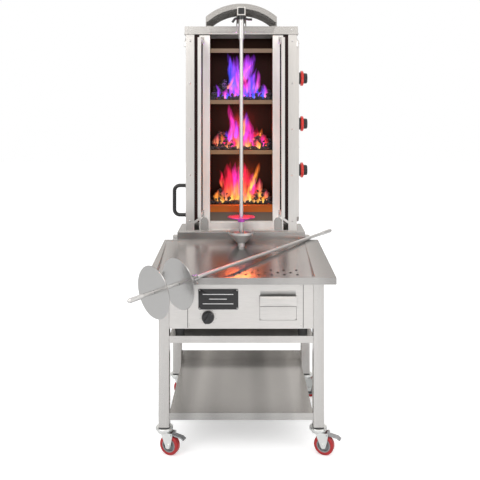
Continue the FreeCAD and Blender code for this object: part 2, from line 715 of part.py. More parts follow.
def base():
    """Everything that stands on the upper shelf and stays still."""
    save("base_housing", base_housing())
    save("front_panel", front_panel())
    drawer()
    drawer_runners()
    rubber_feet()
    save("control_switch", control_switch())
    save("control_knob", control_knob())
    save("gear_motor", gear_motor())
    save("motor_bracket", motor_bracket())
    save("worktop_tray", worktop_tray())
    save("rear_deck", rear_deck())


def tower_shell():
    """The burner tower's sheet casing, open in front between the posts, with guide studs below."""
    half = TOWER_WIDTH / 2
    top = CAP_TOP - SHEET
    low = TOWER_BOTTOM
    block = box(-half, half, TOWER_FRONT, TOWER_BACK, low, top)
    block = block.cut(box(-half + SHEET, half - SHEET, TOWER_FRONT + SHEET, TOWER_BACK - SHEET,
                          low + SHEET, top + 1))
    block = block.cut(box(-WINDOW_RIGHT, WINDOW_RIGHT, TOWER_FRONT - 1, TOWER_FRONT + SHEET + 1,
                          low + SHEET, top + 1))
    x0 = WINDOW_RIGHT
    returns = box(x0, x0 + SHEET, TOWER_FRONT, TOWER_FRONT + POST_RETURN, low + SHEET, top)
    shell = fuse(block, returns, mirror_x(returns))
    holes = [rod(VALVE_STEM_RADIUS + 1, (half - SHEET - 1, VALVE_Y, z), (half + 1, VALVE_Y, z))
             for z in VALVE_HEIGHTS]
    holes.append(rod(INLET_RADIUS + 1, (manifold_x(), TOWER_BACK - SHEET - 1, MANIFOLD_BOTTOM),
                     (manifold_x(), TOWER_BACK + 1, MANIFOLD_BOTTOM)))
    shell = shell.cut(Part.makeCompound(holes))
    nut_low = DECK_TOP - SHEET - RUN_GAP - 8
    studs = []
    for side in (-1, 1):
        x = side * STUD_X
        y = stud_y()
        studs.append(rod(STUD_RADIUS, (x, y, nut_low), (x, y, low + SHEET)))
        studs.append(rod(STUD_RADIUS + 5, (x, y, nut_low), (x, y, nut_low + 8)))
    return fuse(shell, *studs)


def manifold_x():
    """Place along X of the upright gas pipe inside the tower's right wall."""
    return TOWER_WIDTH / 2 - SHEET - VALVE_BODY / 2 - 4


def tower_cap():
    """The lid over the casing, a folded tray with a lip along its lower edge."""
    half = TOWER_WIDTH / 2 + CAP_OVERHANG
    front = TOWER_FRONT - CAP_OVERHANG
    back = TOWER_BACK + CAP_OVERHANG
    block = box(-half, half, front, back, CAP_BOTTOM, CAP_TOP)
    block = block.makeFillet(3, [e for e in block.Edges if e.CenterOfMass.z > CAP_TOP - 1])
    lip = box(-half - 2, half + 2, front - 2, back + 2, CAP_BOTTOM, CAP_BOTTOM + CAP_LIP)
    block = fuse(block, lip)
    return block.cut(box(-half + SHEET, half - SHEET, front + SHEET, back - SHEET,
                         CAP_BOTTOM - 1, CAP_TOP - SHEET))


def firebox_liner():
    """A bent liner: back, two side walls, and flanges turned out to the glass strips."""
    low = TOWER_BOTTOM + SHEET
    high = CAP_BOTTOM - 3
    half = LINER_HALF
    back = box(-half - SHEET, half + SHEET, LINER_BACK, LINER_BACK + SHEET, low, high)
    wall = box(half, half + SHEET, LINER_FRONT, LINER_BACK, low, high)
    flange = box(half, WINDOW_LEFT, LINER_FRONT, LINER_FRONT + SHEET, low, high)
    fold = box(WINDOW_LEFT - SHEET, WINDOW_LEFT, LINER_FRONT, LINER_FRONT + 2 * SHEET, low, high)
    liner = fuse(back, wall, flange, fold, mirror_x(wall), mirror_x(flange), mirror_x(fold))
    holes = [rod(BURNER_RADIUS + RUN_GAP, (half - 1, VALVE_Y, burner_height(n)),
                 (half + SHEET + 1, VALVE_Y, burner_height(n))) for n in range(3)]
    return liner.cut(Part.makeCompound(holes))


def side_windows():
    """The dark glass strips between the liner's flanges and the posts."""
    pane = box(WINDOW_LEFT, WINDOW_RIGHT, LINER_FRONT, LINER_FRONT + GLASS,
               WINDOW_BOTTOM, CAP_BOTTOM - 3)
    save("side_windows", pane, mirror_x(pane))


def bed_height(number):
    """Height of the sheet that carries coal bed 0, 1 or 2, counted from the top."""
    return (PARTITION_TOPS[1], PARTITION_TOPS[2], LOWER_BED)[number]


def burner_height(number):
    """Height of the axis of burner tube 0, 1 or 2, behind its coals."""
    return bed_height(number) + BURNER_LIFT


def burner_partitions():
    """The three cross bars with their shelves, the lower bed, and the sloping apron below it."""
    half = LINER_HALF
    pieces = []
    for top in PARTITION_TOPS:
        bar = box(-half, half, LINER_FRONT, LINER_FRONT + PARTITION_BAR, top - PARTITION_HEIGHT, top)
        sheet = box(-half, half, LINER_FRONT + PARTITION_BAR, LINER_BACK, top - PARTITION_SHEET, top)
        pieces.append(fuse(bar, sheet))
    low = TOWER_BOTTOM + SHEET
    front = LINER_FRONT
    bed = box(-half, half, front + 2, LINER_BACK, LOWER_BED - LOWER_BED_SHEET, LOWER_BED)
    nose = prism_x([(front, LOWER_BED - 6), (front + 4, LOWER_BED), (front + 4, LOWER_BED - 34),
                    (front, LOWER_BED - 34)], -half, half)
    panel = box(-half, half, front + 14, front + 14 + SHEET, low, LOWER_BED - 33)
    ledge = box(-half, half, front, front + 16, LOWER_BED - 34, LOWER_BED - 32)
    rail = box(-half, half, front + 4, front + 14, low + 10, low + 32)
    pieces.append(fuse(bed, nose, ledge, panel, rail))
    save("burner_partitions", *pieces)


def coal_bed(floor):
    """One bed of ceramic coals: a base slab under staggered rows of blunt lumps."""
    half = LINER_HALF - 2
    front = LINER_FRONT + 8
    slab = box(-half, half, front, front + COAL_DEPTH, floor, floor + 0.35 * COAL_HEIGHT)
    lumps = []
    pitch_x = 2 * half / COAL_COLUMNS
    pitch_y = COAL_DEPTH / COAL_ROWS
    for row in range(COAL_ROWS):
        for column in range(COAL_COLUMNS):
            x = -half + (column + 0.5) * pitch_x
            y = front + (row + 0.5) * pitch_y
            tall = COAL_HEIGHT * (0.8 + 0.2 * math.cos(2.4 * column + 1.7 * row))
            wide = 0.46 * pitch_x
            deep = 0.46 * pitch_y
            lumps.append(lump(x, y, floor + 0.3 * COAL_HEIGHT, wide, deep, 0.7 * tall))
    return fuse(slab, *lumps)


def lump(x, y, z, wide, deep, tall):
    """A blunt pyramid with a flat crown."""
    rings = []
    for share, height in ((1.0, 0.0), (0.5, tall)):
        corners = [V(x + sx * wide * share, y + sy * deep * share, z + height)
                   for sx, sy in ((-1, -1), (1, -1), (1, 1), (-1, 1))]
        rings.append(Part.makePolygon(corners + corners[:1]))
    return Part.makeLoft(rings, True, True)


def gas_train():
    """The upright manifold with its inlet, the three valves and the three burner tubes."""
    x = manifold_x()
    top = VALVE_HEIGHTS[0] + VALVE_BODY / 2
    pipe_y = VALVE_Y + VALVE_BODY / 2 + MANIFOLD_RADIUS - 1
    pipe = rod(MANIFOLD_RADIUS, (x, pipe_y, MANIFOLD_BOTTOM), (x, pipe_y, top))
    elbow = Part.makeSphere(MANIFOLD_RADIUS, V(x, pipe_y, MANIFOLD_BOTTOM))
    inlet = rod(MANIFOLD_RADIUS, (x, pipe_y, MANIFOLD_BOTTOM), (x, TOWER_BACK + 1, MANIFOLD_BOTTOM))
    nipple = rod(INLET_RADIUS, (x, TOWER_BACK, MANIFOLD_BOTTOM),
                 (x, TOWER_BACK + INLET_LENGTH, MANIFOLD_BOTTOM))
    valves = []
    burners = []
    outer = TOWER_WIDTH / 2 - SHEET
    half = VALVE_BODY / 2
    tubes = []
    for number, z in enumerate(VALVE_HEIGHTS):
        body = box(outer - VALVE_BODY, outer, VALVE_Y - half, VALVE_Y + half, z - half, z + half)
        body = body.makeChamfer(4, body.Edges)
        body = body.cut(rod(MANIFOLD_RADIUS, (x, pipe_y, z - 40), (x, pipe_y, z + 40)))
        stem_hole = rod(VALVE_STEM_RADIUS + SHAFT_GAP, (outer - 18, VALVE_Y, z), (outer + 1, VALVE_Y, z))
        valves.append(body.cut(stem_hole))
        riser_x = outer - VALVE_BODY - BURNER_RADIUS - 4
        low = burner_height(number)
        tubes = [rod(BURNER_RADIUS, (riser_x, VALVE_Y, low), (riser_x, VALVE_Y, z)),
                 Part.makeSphere(BURNER_RADIUS, V(riser_x, VALVE_Y, low)),
                 Part.makeSphere(BURNER_RADIUS, V(riser_x, VALVE_Y, z)),
                 rod(BURNER_RADIUS, (riser_x, VALVE_Y, z), (outer - VALVE_BODY, VALVE_Y, z)),
                 rod(BURNER_RADIUS, (-LINER_HALF, VALVE_Y, low), (riser_x, VALVE_Y, low))]
        burners.append(fuse(*tubes))
    save("gas_manifold", fuse(pipe, elbow, inlet, nipple))
    save("gas_valves", *valves)
    save("burner_tubes", *burners)


def valve_knob(z):
    """A gas knob: a skirt, a wide ring, and a fluted cap, on its stem."""
    base = COVER_FACE + RUN_GAP
    skirt = VALVE_SKIRT_LENGTH
    ring = skirt + VALVE_RING_LENGTH
    end = ring + VALVE_CAP_LENGTH
    outline = [(0, 0), (VALVE_KNOB_RADIUS + 2, 0), (VALVE_KNOB_RADIUS, skirt),
               (VALVE_RING_RADIUS - 2, skirt), (VALVE_RING_RADIUS, skirt + 2), (VALVE_RING_RADIUS, ring - 2),
               (VALVE_RING_RADIUS - 2, ring), (VALVE_CAP_RADIUS + 1, ring), (VALVE_CAP_RADIUS, end - 3),
               (VALVE_CAP_RADIUS - 3, end), (0, end)]
    knob = revolve(outline, 0, 0)
    flutes = 8
    cuts = []
    for number in range(flutes):
        angle = 2 * math.pi * number / flutes
        x = (VALVE_CAP_RADIUS + 3) * math.cos(angle)
        y = (VALVE_CAP_RADIUS + 3) * math.sin(angle)
        cuts.append(rod(5, (x, y, ring + 2), (x, y, end + 1)))
    knob = knob.cut(Part.makeCompound(cuts))
    stem = rod(VALVE_STEM_RADIUS, (0, 0, -COVER_DEPTH - RUN_GAP - SHEET - 16), (0, 0, 1))
    knob = fuse(knob, stem)
    knob.rotate(V(0, 0, 0), V(0, 1, 0), 90)
    knob.translate(V(base, VALVE_Y, z))
    return knob


def service_cover():
    """The shallow cover on the right wall, chamfered at its foot and slotted near its top."""
    wall = TOWER_WIDTH / 2
    cut = COVER_CHAMFER
    outline = [(COVER_FRONT, COVER_BOTTOM + cut), (COVER_FRONT + cut, COVER_BOTTOM),
               (COVER_BACK, COVER_BOTTOM), (COVER_BACK, COVER_TOP), (COVER_FRONT, COVER_TOP)]
    block = prism_x(outline, wall, COVER_FACE)
    inner = [(COVER_FRONT + SHEET, COVER_BOTTOM + cut), (COVER_FRONT + cut, COVER_BOTTOM + SHEET),
             (COVER_BACK - SHEET, COVER_BOTTOM + SHEET), (COVER_BACK - SHEET, COVER_TOP - SHEET),
             (COVER_FRONT + SHEET, COVER_TOP - SHEET)]
    block = block.cut(prism_x(inner, wall - 1, COVER_FACE - SHEET))
    holes = [rod(VALVE_STEM_RADIUS + 1, (wall, VALVE_Y, z), (COVER_FACE + 1, VALVE_Y, z))
             for z in VALVE_HEIGHTS]
    front = COVER_FRONT + COVER_SLOT_INSET
    high = COVER_TOP - COVER_SLOT_DROP
    slot = box(COVER_FACE - SHEET - 1, COVER_FACE + 1, front, front + COVER_SLOT_WIDTH,
               high - COVER_SLOT_LENGTH, high)
    return block.cut(Part.makeCompound(holes + [slot]))


def bent_bar(points, radius, bend):
    """A round bar along straight runs joined by arcs of one bend radius."""
    spots = [V(*p) for p in points]
    edges = []
    start = spots[0]
    for before, corner, after in zip(spots, spots[1:], spots[2:]):
        into = (corner - before).normalize()
        out = (after - corner).normalize()
        turn = into.getAngle(out)
        setback = bend * math.tan(turn / 2)
        first = corner - into * setback
        last = corner + out * setback
        middle = corner + (out - into).normalize() * (bend / math.cos(turn / 2) - bend)
        edges.append(Part.LineSegment(start, first).toShape())
        edges.append(Part.Arc(first, middle, last).toShape())
        start = last
    edges.append(Part.LineSegment(start, spots[-1]).toShape())
    path = Part.Wire(edges)
    ring = Part.Wire(Part.makeCircle(radius, spots[0], spots[1] - spots[0]))
    return path.makePipeShell([ring], True, False)


def tower_handle():
    """The U handle on the left wall that pulls the tower along its slots."""
    wall = -TOWER_WIDTH / 2
    out = wall - HANDLE_REACH
    bar = bent_bar([(wall, HANDLE_Y, HANDLE_BOTTOM), (out, HANDLE_Y, HANDLE_BOTTOM),
                    (out, HANDLE_Y, HANDLE_TOP), (wall, HANDLE_Y, HANDLE_TOP)],
                   HANDLE_RADIUS, HANDLE_BEND)
    discs = [rod(HANDLE_RADIUS + 5, (wall, HANDLE_Y, z), (wall - 4, HANDLE_Y, z))
             for z in (HANDLE_BOTTOM, HANDLE_TOP)]
    return fuse(bar, *discs)


def spit_arch():
    """The arched channel over the tower, with flanges turned down in front and behind."""
    radius = (ARCH_HALF ** 2 + ARCH_RISE ** 2) / (2 * ARCH_RISE)
    centre_z = ARCH_APEX - radius
    front = TOWER_FRONT - 4
    back = TOWER_BACK - 4
    high = ARCH_APEX + 1

    def band(depth, y0, y1):
        outer = rod(radius, (0, y0, centre_z), (0, y1, centre_z))
        inner = rod(radius - depth, (0, y0 - 1, centre_z), (0, y1 + 1, centre_z))
        frame = box(-ARCH_HALF, ARCH_HALF, y0, y1, ARCH_SPRING - depth, high)
        return outer.cut(inner).common(frame)

    top = band(ARCH_SHEET, front, back)
    lips = [band(ARCH_FRONT_FLANGE, front, front + ARCH_SHEET),
            band(ARCH_REAR_FLANGE, back - ARCH_SHEET, back)]
    wall = box(ARCH_HALF - ARCH_SHEET, ARCH_HALF, front, back, CAP_TOP, ARCH_SPRING)
    foot = box(ARCH_HALF - 22, ARCH_HALF, front + 6, back - 6, CAP_TOP, CAP_TOP + ARCH_SHEET)
    return fuse(top, *lips, wall, foot, mirror_x(wall), mirror_x(foot))


def arm_guide():
    """The saddle on the cap that the square arm slides through."""
    half = ARM / 2 + RUN_GAP + GUIDE_WALL
    y0 = TOWER_FRONT + 0.25 * TOWER_DEPTH
    y1 = y0 + GUIDE_LENGTH
    block = box(-half, half, y0, y1, CAP_TOP, ARM_BOTTOM + ARM + RUN_GAP + GUIDE_WALL)
    foot = box(-half - 18, half + 18, y0 + 6, y1 - 6, CAP_TOP, CAP_TOP + GUIDE_WALL)
    gap = ARM / 2 + RUN_GAP
    hole = box(-gap, gap, y0 - 1, y1 + 1, ARM_BOTTOM - RUN_GAP, ARM_BOTTOM + ARM + RUN_GAP)
    under = box(-gap, gap, y0 - 1, y1 + 1, CAP_TOP + GUIDE_WALL, ARM_BOTTOM - RUN_GAP - GUIDE_WALL)
    return fuse(block, foot).cut(hole).cut(under)


def top_arm():
    """The square arm over the spit, bored upright near its front end for the bearing sleeve."""
    half = ARM / 2
    tube = box(-half, half, ARM_FRONT, ARM_BACK, ARM_BOTTOM, ARM_BOTTOM + ARM)
    along = [e for e in tube.Edges if abs(e.tangentAt(e.FirstParameter).y) > 0.999]
    tube = tube.makeFillet(3, along)
    inner = half - ARM_WALL
    hollow = box(-inner, inner, ARM_FRONT + 3, ARM_BACK + 1,
                 ARM_BOTTOM + ARM_WALL, ARM_BOTTOM + ARM - ARM_WALL)
    bore = rod(SLEEVE_RADIUS + SHAFT_GAP, (0, SPIT_Y, ARM_BOTTOM - 1), (0, SPIT_Y, ARM_BOTTOM + ARM + 1))
    return tube.cut(hollow).cut(bore)


def top_sleeve():
    """The bearing sleeve that slides in the arm and holds the spit's upper end."""
    outline = [(0, SLEEVE_TOP), (SLEEVE_RADIUS - 1, SLEEVE_TOP), (SLEEVE_RADIUS, SLEEVE_TOP - 1),
               (SLEEVE_RADIUS, SLEEVE_BOTTOM + 1), (SLEEVE_RADIUS - 1, SLEEVE_BOTTOM), (0, SLEEVE_BOTTOM)]
    sleeve = revolve(outline, 0, SPIT_Y)
    bore = rod(SPIT_RADIUS + SHAFT_GAP, (0, SPIT_Y, SLEEVE_BOTTOM - 1),
               (0, SPIT_Y, SLEEVE_BOTTOM + SLEEVE_BORE_DEPTH))
    return sleeve.cut(bore)


def lock_lever():
    """The ring under the arm with a bent grip each way, which clamps the sleeve."""
    top = ARM_BOTTOM - RUN_GAP
    low = top - LEVER_HEIGHT
    ring = rod(LEVER_RING, (0, SPIT_Y, low), (0, SPIT_Y, top))
    mid = low + 5
    left = bent_bar([(-LEVER_RING + 2, SPIT_Y, mid), (-26, SPIT_Y, mid), (-38, SPIT_Y, mid - 16)],
                    LEVER_ARM, 6)
    right = bent_bar([(LEVER_RING - 2, SPIT_Y, mid), (30, SPIT_Y, mid - 4), (46, SPIT_Y, mid - 4)],
                     LEVER_ARM, 9)
    bore = rod(SLEEVE_RADIUS + RUN_GAP, (0, SPIT_Y, low - 1), (0, SPIT_Y, top + 1))
    return fuse(ring, left, right).cut(bore)


def spit():
    """The turning spit: cup and spindle, rod, and the plate that carries the meat."""
    neck = CUP_NECK_RADIUS
    rim = CUP_RIM_RADIUS
    wall = CUP_WALL
    socket = SPIT_RADIUS + 4
    journal_top = GEARBOX_BOTTOM + GEARBOX_HEIGHT + RUN_GAP
    journal_low = GEARBOX_BOTTOM + GEARBOX_HEIGHT - JOURNAL_DEPTH
    bed = CUP_BOTTOM + wall + 4
    outline = [(0, journal_low), (JOURNAL_RADIUS, journal_low), (JOURNAL_RADIUS, journal_top),
               (SPINDLE_RADIUS, journal_top), (SPINDLE_RADIUS, CUP_BOTTOM), (neck, CUP_BOTTOM),
               (rim, CUP_RIM - 10), (rim, CUP_RIM), (rim - wall, CUP_RIM),
               (rim - wall, CUP_RIM - 9), (neck - 1, bed), (socket, bed), (socket, bed + SPIT_ENTRY),
               (SPIT_RADIUS, bed + SPIT_ENTRY), (SPIT_RADIUS, bed), (0, bed)]
    save("spit_cup", revolve(outline, 0, SPIT_Y))
    rod_top = SLEEVE_BOTTOM + SLEEVE_BORE_DEPTH - 4
    taper = [(0, bed), (SPIT_RADIUS, bed), (SPIT_RADIUS, rod_top - 10),
             (SPIT_RADIUS - 4, rod_top), (0, rod_top)]
    save("spit_rod", revolve(taper, 0, SPIT_Y))
    half = DISC_SHEET / 2
    level = SPIT_DISC_HEIGHT
    foot = level - DISC_HUB_LENGTH
    plate = [(SPIT_RADIUS, foot), (DISC_HUB_RADIUS, foot), (DISC_HUB_RADIUS, level - half),
             (SPIT_DISC_RADIUS - 1, level - half), (SPIT_DISC_RADIUS, level),
             (SPIT_DISC_RADIUS - 1, level + half), (SPIT_RADIUS, level + half)]
    hub = revolve(plate, 0, SPIT_Y)
    low = level - DISC_HUB_LENGTH / 2
    screw = rod(3.5, (DISC_HUB_RADIUS - 2, SPIT_Y, low), (DISC_HUB_RADIUS + 14, SPIT_Y, low))
    save("spit_disc", fuse(hub, screw))


def wing(side):
    """A hinged wing: a welded frame on its pin, with dark glass in the window."""
    x = side * WING_PIN_X
    y = WING_PIN_Y
    half = WING_THICKNESS / 2
    back = y + half - 1
    front = back - WING_LENGTH
    frame = box(x - half, x + half, front, back, WING_BOTTOM, WING_TOP)
    edge = WING_FRAME
    window = box(x - half - 1, x + half + 1, front + edge, back - edge - 4,
                 WING_BOTTOM + edge, WING_TOP - edge)
    pane = box(x - GLASS / 2, x + GLASS / 2, front + edge, back - edge - 4,
               WING_BOTTOM + edge, WING_TOP - edge)
    low = WING_BOTTOM - RUN_GAP - LUG_THICKNESS - 3
    high = WING_TOP + RUN_GAP + LUG_THICKNESS + 3
    pins = [rod(WING_PIN_RADIUS, (x, y, low), (x, y, WING_BOTTOM + 1)),
            rod(WING_PIN_RADIUS, (x, y, WING_TOP - 1), (x, y, high))]
    name = "left" if side < 0 else "right"
    save("wing_" + name, fuse(frame.cut(window), *pins))
    save("wing_glass_" + name, pane)


def wing_brackets():
    """Four drilled lugs on the liner's flanges that hold the wings' pins."""
    lugs = []
    half = LUG_WIDTH / 2
    y = WING_PIN_Y
    for side in (-1, 1):
        x = side * WING_PIN_X
        for z in (WING_BOTTOM - RUN_GAP - LUG_THICKNESS, WING_TOP + RUN_GAP):
            plate = box(x - half, x + half, y, LINER_FRONT, z, z + LUG_THICKNESS)
            nose = rod(half, (x, y, z), (x, y, z + LUG_THICKNESS))
            hole = rod(WING_PIN_RADIUS + SHAFT_GAP, (x, y, z - 1), (x, y, z + LUG_THICKNESS + 1))
            foot = box(x - half, x + half if side < 0 else x + half, LINER_FRONT - 3, LINER_FRONT,
                       z - 12, z + LUG_THICKNESS + 12)
            foot = foot.common(box(-WINDOW_LEFT, WINDOW_LEFT, y, LINER_FRONT + 1, z - 20, z + 40))
            lugs.append(fuse(plate, nose, foot).cut(hole))
    save("wing_brackets", *lugs)


def spare_ends():
    """Two points on the spare rod's axis: over the front rim and over the right flange."""
    lift = SPARE_RADIUS + RUN_GAP
    y0 = TRAY_FRONT + RIM_WIDTH / 2
    y1 = TRAY_BACK - 2
    first = V(SPARE_RIM_X, y0, rim_top(y0) + lift)
    last = V(SPARE_BACK_X, y1, rim_top(y1) + lift)
    return first, (last - first).normalize()


def placed_on_spare(shape, place):
    """A piece drawn about Z at the origin, moved to a place along the spare rod."""
    first, along = spare_ends()
    copy = shape.copy()
    copy.Placement = FreeCAD.Placement(first + along * place, FreeCAD.Rotation(V(0, 0, 1), along))
    return copy


def spare_spit():
    """The spare rod with thick ends and its two larger discs, each clamped by a screw."""
    radius = SPARE_RADIUS
    low = -SPARE_FRONT_END
    high = SPARE_BACK_END
    thick = radius + SPARE_GRIP_STEP
    grip = SPARE_GRIP_LENGTH
    slim = grip + SPARE_GRIP_TAPER
    point = SPARE_POINT
    outline = [(0, low), (radius - 3, low), (thick, low + point), (thick, low + grip),
               (radius, low + slim), (radius, high - slim), (thick, high - grip),
               (thick, high - point), (radius - 3, high), (0, high)]
    save("spare_rod", placed_on_spare(revolve(outline, 0, 0), 0))
    pieces = []
    half = DISC_SHEET / 2
    hub = 16.0
    for place in SPARE_DISC_PLACES:
        ring = revolve([(radius, -half), (SPARE_DISC_RADIUS - 1, -half), (SPARE_DISC_RADIUS, 0),
                        (SPARE_DISC_RADIUS - 1, half), (hub, half), (hub, 20), (radius, 20)], 0, 0)
        screw = rod(4, (hub - 2, 0, 11), (hub + 16, 0, 11))
        pieces.append(placed_on_spare(fuse(ring, screw), place))
    collar = revolve([(radius, -9), (13, -9), (13, 9), (radius, 9)], 0, 0)
    screw = rod(3, (11, 0, 0), (24, 0, 0))
    pieces.append(placed_on_spare(fuse(collar, screw), SPARE_COLLAR_PLACE))
    save("spare_discs", *pieces)


PARTS = {}


def save(name, *solids):
    """Keep a node's solids until the whole model is placed on its origin."""
    PARTS[name] = Part.makeCompound(list(solids))


def tower():
    """Everything that slides with the tower, and what hangs from it."""
    save("tower_shell", tower_shell())
    save("tower_cap", tower_cap())
    save("firebox_liner", firebox_liner())
    side_windows()
    burner_partitions()
    save("coal_beds", *[coal_bed(bed_height(number)) for number in range(3)])
    gas_train()
    for name, z in zip(("top", "middle", "bottom"), VALVE_HEIGHTS):
        save("valve_knob_" + name, valve_knob(z))
    save("service_cover", service_cover())
    save("tower_handle", tower_handle())
    save("spit_arch", spit_arch())
    save("arm_guide", arm_guide())
    save("top_arm", top_arm())
    save("top_sleeve", top_sleeve())
    save("lock_lever", lock_lever())
    wing(-1)
    wing(1)
    wing_brackets()


def main():
    """Model every piece, move the origin under the middle, and write one file per node."""
    os.makedirs("parts", exist_ok=True)
    stand()
    casters()
    base()
    tower()
    spit()
    spare_spit()
    bounds = Part.makeCompound(list(PARTS.values())).BoundBox
    shift = V(-(bounds.XMin + bounds.XMax) / 2, -(bounds.YMin + bounds.YMax) / 2, -bounds.ZMin)
    print("origin moved by", round(shift.x, 4), round(shift.y, 4), round(shift.z, 4))
    for name, shape in PARTS.items():
        shape.translate(shift)
        shape.exportStep("parts/" + name + ".step")
        sound = all(solid.isValid() and solid.Volume > 0 for solid in shape.Solids)
        print(name, len(shape.Solids), "sound" if sound else "BROKEN")


main()
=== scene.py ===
import json
import math

import bpy
import numpy as np
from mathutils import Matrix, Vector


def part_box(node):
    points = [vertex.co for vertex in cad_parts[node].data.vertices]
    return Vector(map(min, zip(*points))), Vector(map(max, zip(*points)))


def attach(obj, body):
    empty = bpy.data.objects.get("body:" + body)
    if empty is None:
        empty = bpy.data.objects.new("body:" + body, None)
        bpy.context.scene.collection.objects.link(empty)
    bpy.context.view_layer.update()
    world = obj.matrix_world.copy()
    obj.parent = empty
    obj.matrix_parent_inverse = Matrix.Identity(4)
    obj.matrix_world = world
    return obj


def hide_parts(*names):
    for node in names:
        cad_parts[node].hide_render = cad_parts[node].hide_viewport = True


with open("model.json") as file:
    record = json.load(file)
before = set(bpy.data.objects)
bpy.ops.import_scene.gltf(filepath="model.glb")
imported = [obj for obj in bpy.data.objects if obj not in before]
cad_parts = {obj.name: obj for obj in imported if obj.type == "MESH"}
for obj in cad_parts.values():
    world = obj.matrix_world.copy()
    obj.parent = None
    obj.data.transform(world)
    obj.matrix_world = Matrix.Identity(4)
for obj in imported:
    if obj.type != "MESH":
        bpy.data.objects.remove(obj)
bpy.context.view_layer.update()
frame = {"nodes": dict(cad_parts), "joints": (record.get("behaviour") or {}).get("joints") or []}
nodes = frame["nodes"]
print("stage: frame loaded")


# Small tools for meshes

def centreOf(node):
    low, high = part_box(node)
    return (np.array(low) + np.array(high)) / 2


def faceRows(countU, countV, wrapU):
    # quads of a grid: each cell joins a point with its next ones in u and v
    u = np.arange(countU if wrapU else countU - 1)
    gu, gv = np.meshgrid(u, np.arange(countV - 1), indexing="ij")
    nu, nv = (gu + 1) % countU, gv + 1
    corners = (gu * countV + gv, nu * countV + gv, nu * countV + nv, gu * countV + nv)
    return np.stack(corners, axis=-1).reshape(-1, 4)


sharpEdge = math.radians(38)


def addMesh(name, points, faces, material, body, colours=None):
    mesh = bpy.data.meshes.new(name)
    points = np.asarray(points, dtype=np.float32).reshape(-1, 3)
    faces = np.asarray(faces, dtype=np.int32)
    mesh.vertices.add(len(points))
    mesh.vertices.foreach_set("co", points.ravel())
    mesh.loops.add(faces.size)
    mesh.loops.foreach_set("vertex_index", faces.ravel())
    mesh.polygons.add(len(faces))
    mesh.polygons.foreach_set("loop_start", np.arange(len(faces), dtype=np.int32) * faces.shape[1])
    mesh.update(calc_edges=True)
    mesh.validate()
    mesh.polygons.foreach_set("use_smooth", np.ones(len(mesh.polygons), dtype=bool))
    mesh.set_sharp_from_angle(angle=sharpEdge)
    if colours is not None:
        layer = mesh.attributes.new("flameColour", "FLOAT_COLOR", "POINT")
        layer.data.foreach_set("color", np.asarray(colours, dtype=np.float32).ravel())
    mesh.materials.append(material)
    piece = bpy.data.objects.new(name, mesh)
    bpy.context.scene.collection.objects.link(piece)
    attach(piece, body)
    return piece


def addGrids(name, grids, material, body, wrapU=True, colours=None):
    # several grids of one size, shape (count, u, v, 3), as one mesh; wrapU closes each grid round
    grids = np.asarray(grids)
    count, sizeU, sizeV = grids.shape[:3]
    cell = faceRows(sizeU, sizeV, wrapU)
    faces = (cell[None] + (np.arange(count) * sizeU * sizeV)[:, None, None]).reshape(-1, 4)
    return addMesh(name, grids, faces, material, body, colours)


def axesFor(axis):
    # the axis at length 1, with two unit vectors square to it and to each other
    axis = np.asarray(axis, dtype=float)
    axis = axis / np.linalg.norm(axis)
    helper = np.array([0.0, 0.0, 1.0]) if abs(axis[2]) < 0.9 else np.array([1.0, 0.0, 0.0])
    side = np.cross(helper, axis)
    side = side / np.linalg.norm(side)
    return axis, side, np.cross(axis, side)


def lathe(profile, centre, axis, steps=48):
    # point = centre + axis * height + radius * (cos(angle) * side + sin(angle) * other)
    axis, side, other = axesFor(axis)
    profile = np.asarray(profile, dtype=float)
    angle = np.linspace(0, 2 * math.pi, steps, endpoint=False)[:, None]
    radius, height = profile[None, :, 0], profile[None, :, 1]
    return (np.asarray(centre, dtype=float) + height[..., None] * axis
            + (radius * np.cos(angle))[..., None] * side + (radius * np.sin(angle))[..., None] * other)


# Finishes

def newMaterial(name):
    material = bpy.data.materials.new(name)
    material.use_nodes = True
    tree = material.node_tree
    return material, tree, tree.nodes["Principled BSDF"]


def setShader(shader, **values):
    for key, value in values.items():
        shader.inputs[key.replace("_", " ")].default_value = value


def grainNodes(tree, stretch, scale, detail=3.0):
    coords = tree.nodes.new("ShaderNodeTexCoord")
    mapping = tree.nodes.new("ShaderNodeMapping")
    mapping.inputs["Scale"].default_value = stretch
    noise = tree.nodes.new("ShaderNodeTexNoise")
    noise.inputs["Scale"].default_value = scale
    noise.inputs["Detail"].default_value = detail
    tree.links.new(coords.outputs["Object"], mapping.inputs["Vector"])
    tree.links.new(mapping.outputs["Vector"], noise.inputs["Vector"])
    return noise


def ramp(tree, source, stops):
    node = tree.nodes.new("ShaderNodeValToRGB")
    elements = node.color_ramp.elements
    while len(elements) < len(stops):
        elements.new(0.5)
    for element, (place, colour) in zip(elements, stops):
        element.position = place
        element.color = (*colour, 1.0)
    tree.links.new(source, node.inputs["Fac"])
    return node


def addBump(tree, shader, source, strength, distance):
    bump = tree.nodes.new("ShaderNodeBump")
    bump.inputs["Strength"].default_value = strength
    bump.inputs["Distance"].default_value = distance
    tree.links.new(source, bump.inputs["Height"])
    tree.links.new(bump.outputs["Normal"], shader.inputs["Normal"])


def multiplied(tree, first, second, factor=1.0):
    # the first colour times the second; the factor says how much of that product shows
    mix = tree.nodes.new("ShaderNodeMix")
    mix.data_type = "RGBA"
    mix.blend_type = "MULTIPLY"
    mix.inputs["Factor"].default_value = factor
    tree.links.new(first, mix.inputs["A"])
    tree.links.new(second, mix.inputs["B"])
    return mix.outputs["Result"]


def grey(value):
    # a steel grey, a little warm
    return (value, value * 0.988, value * 0.974)


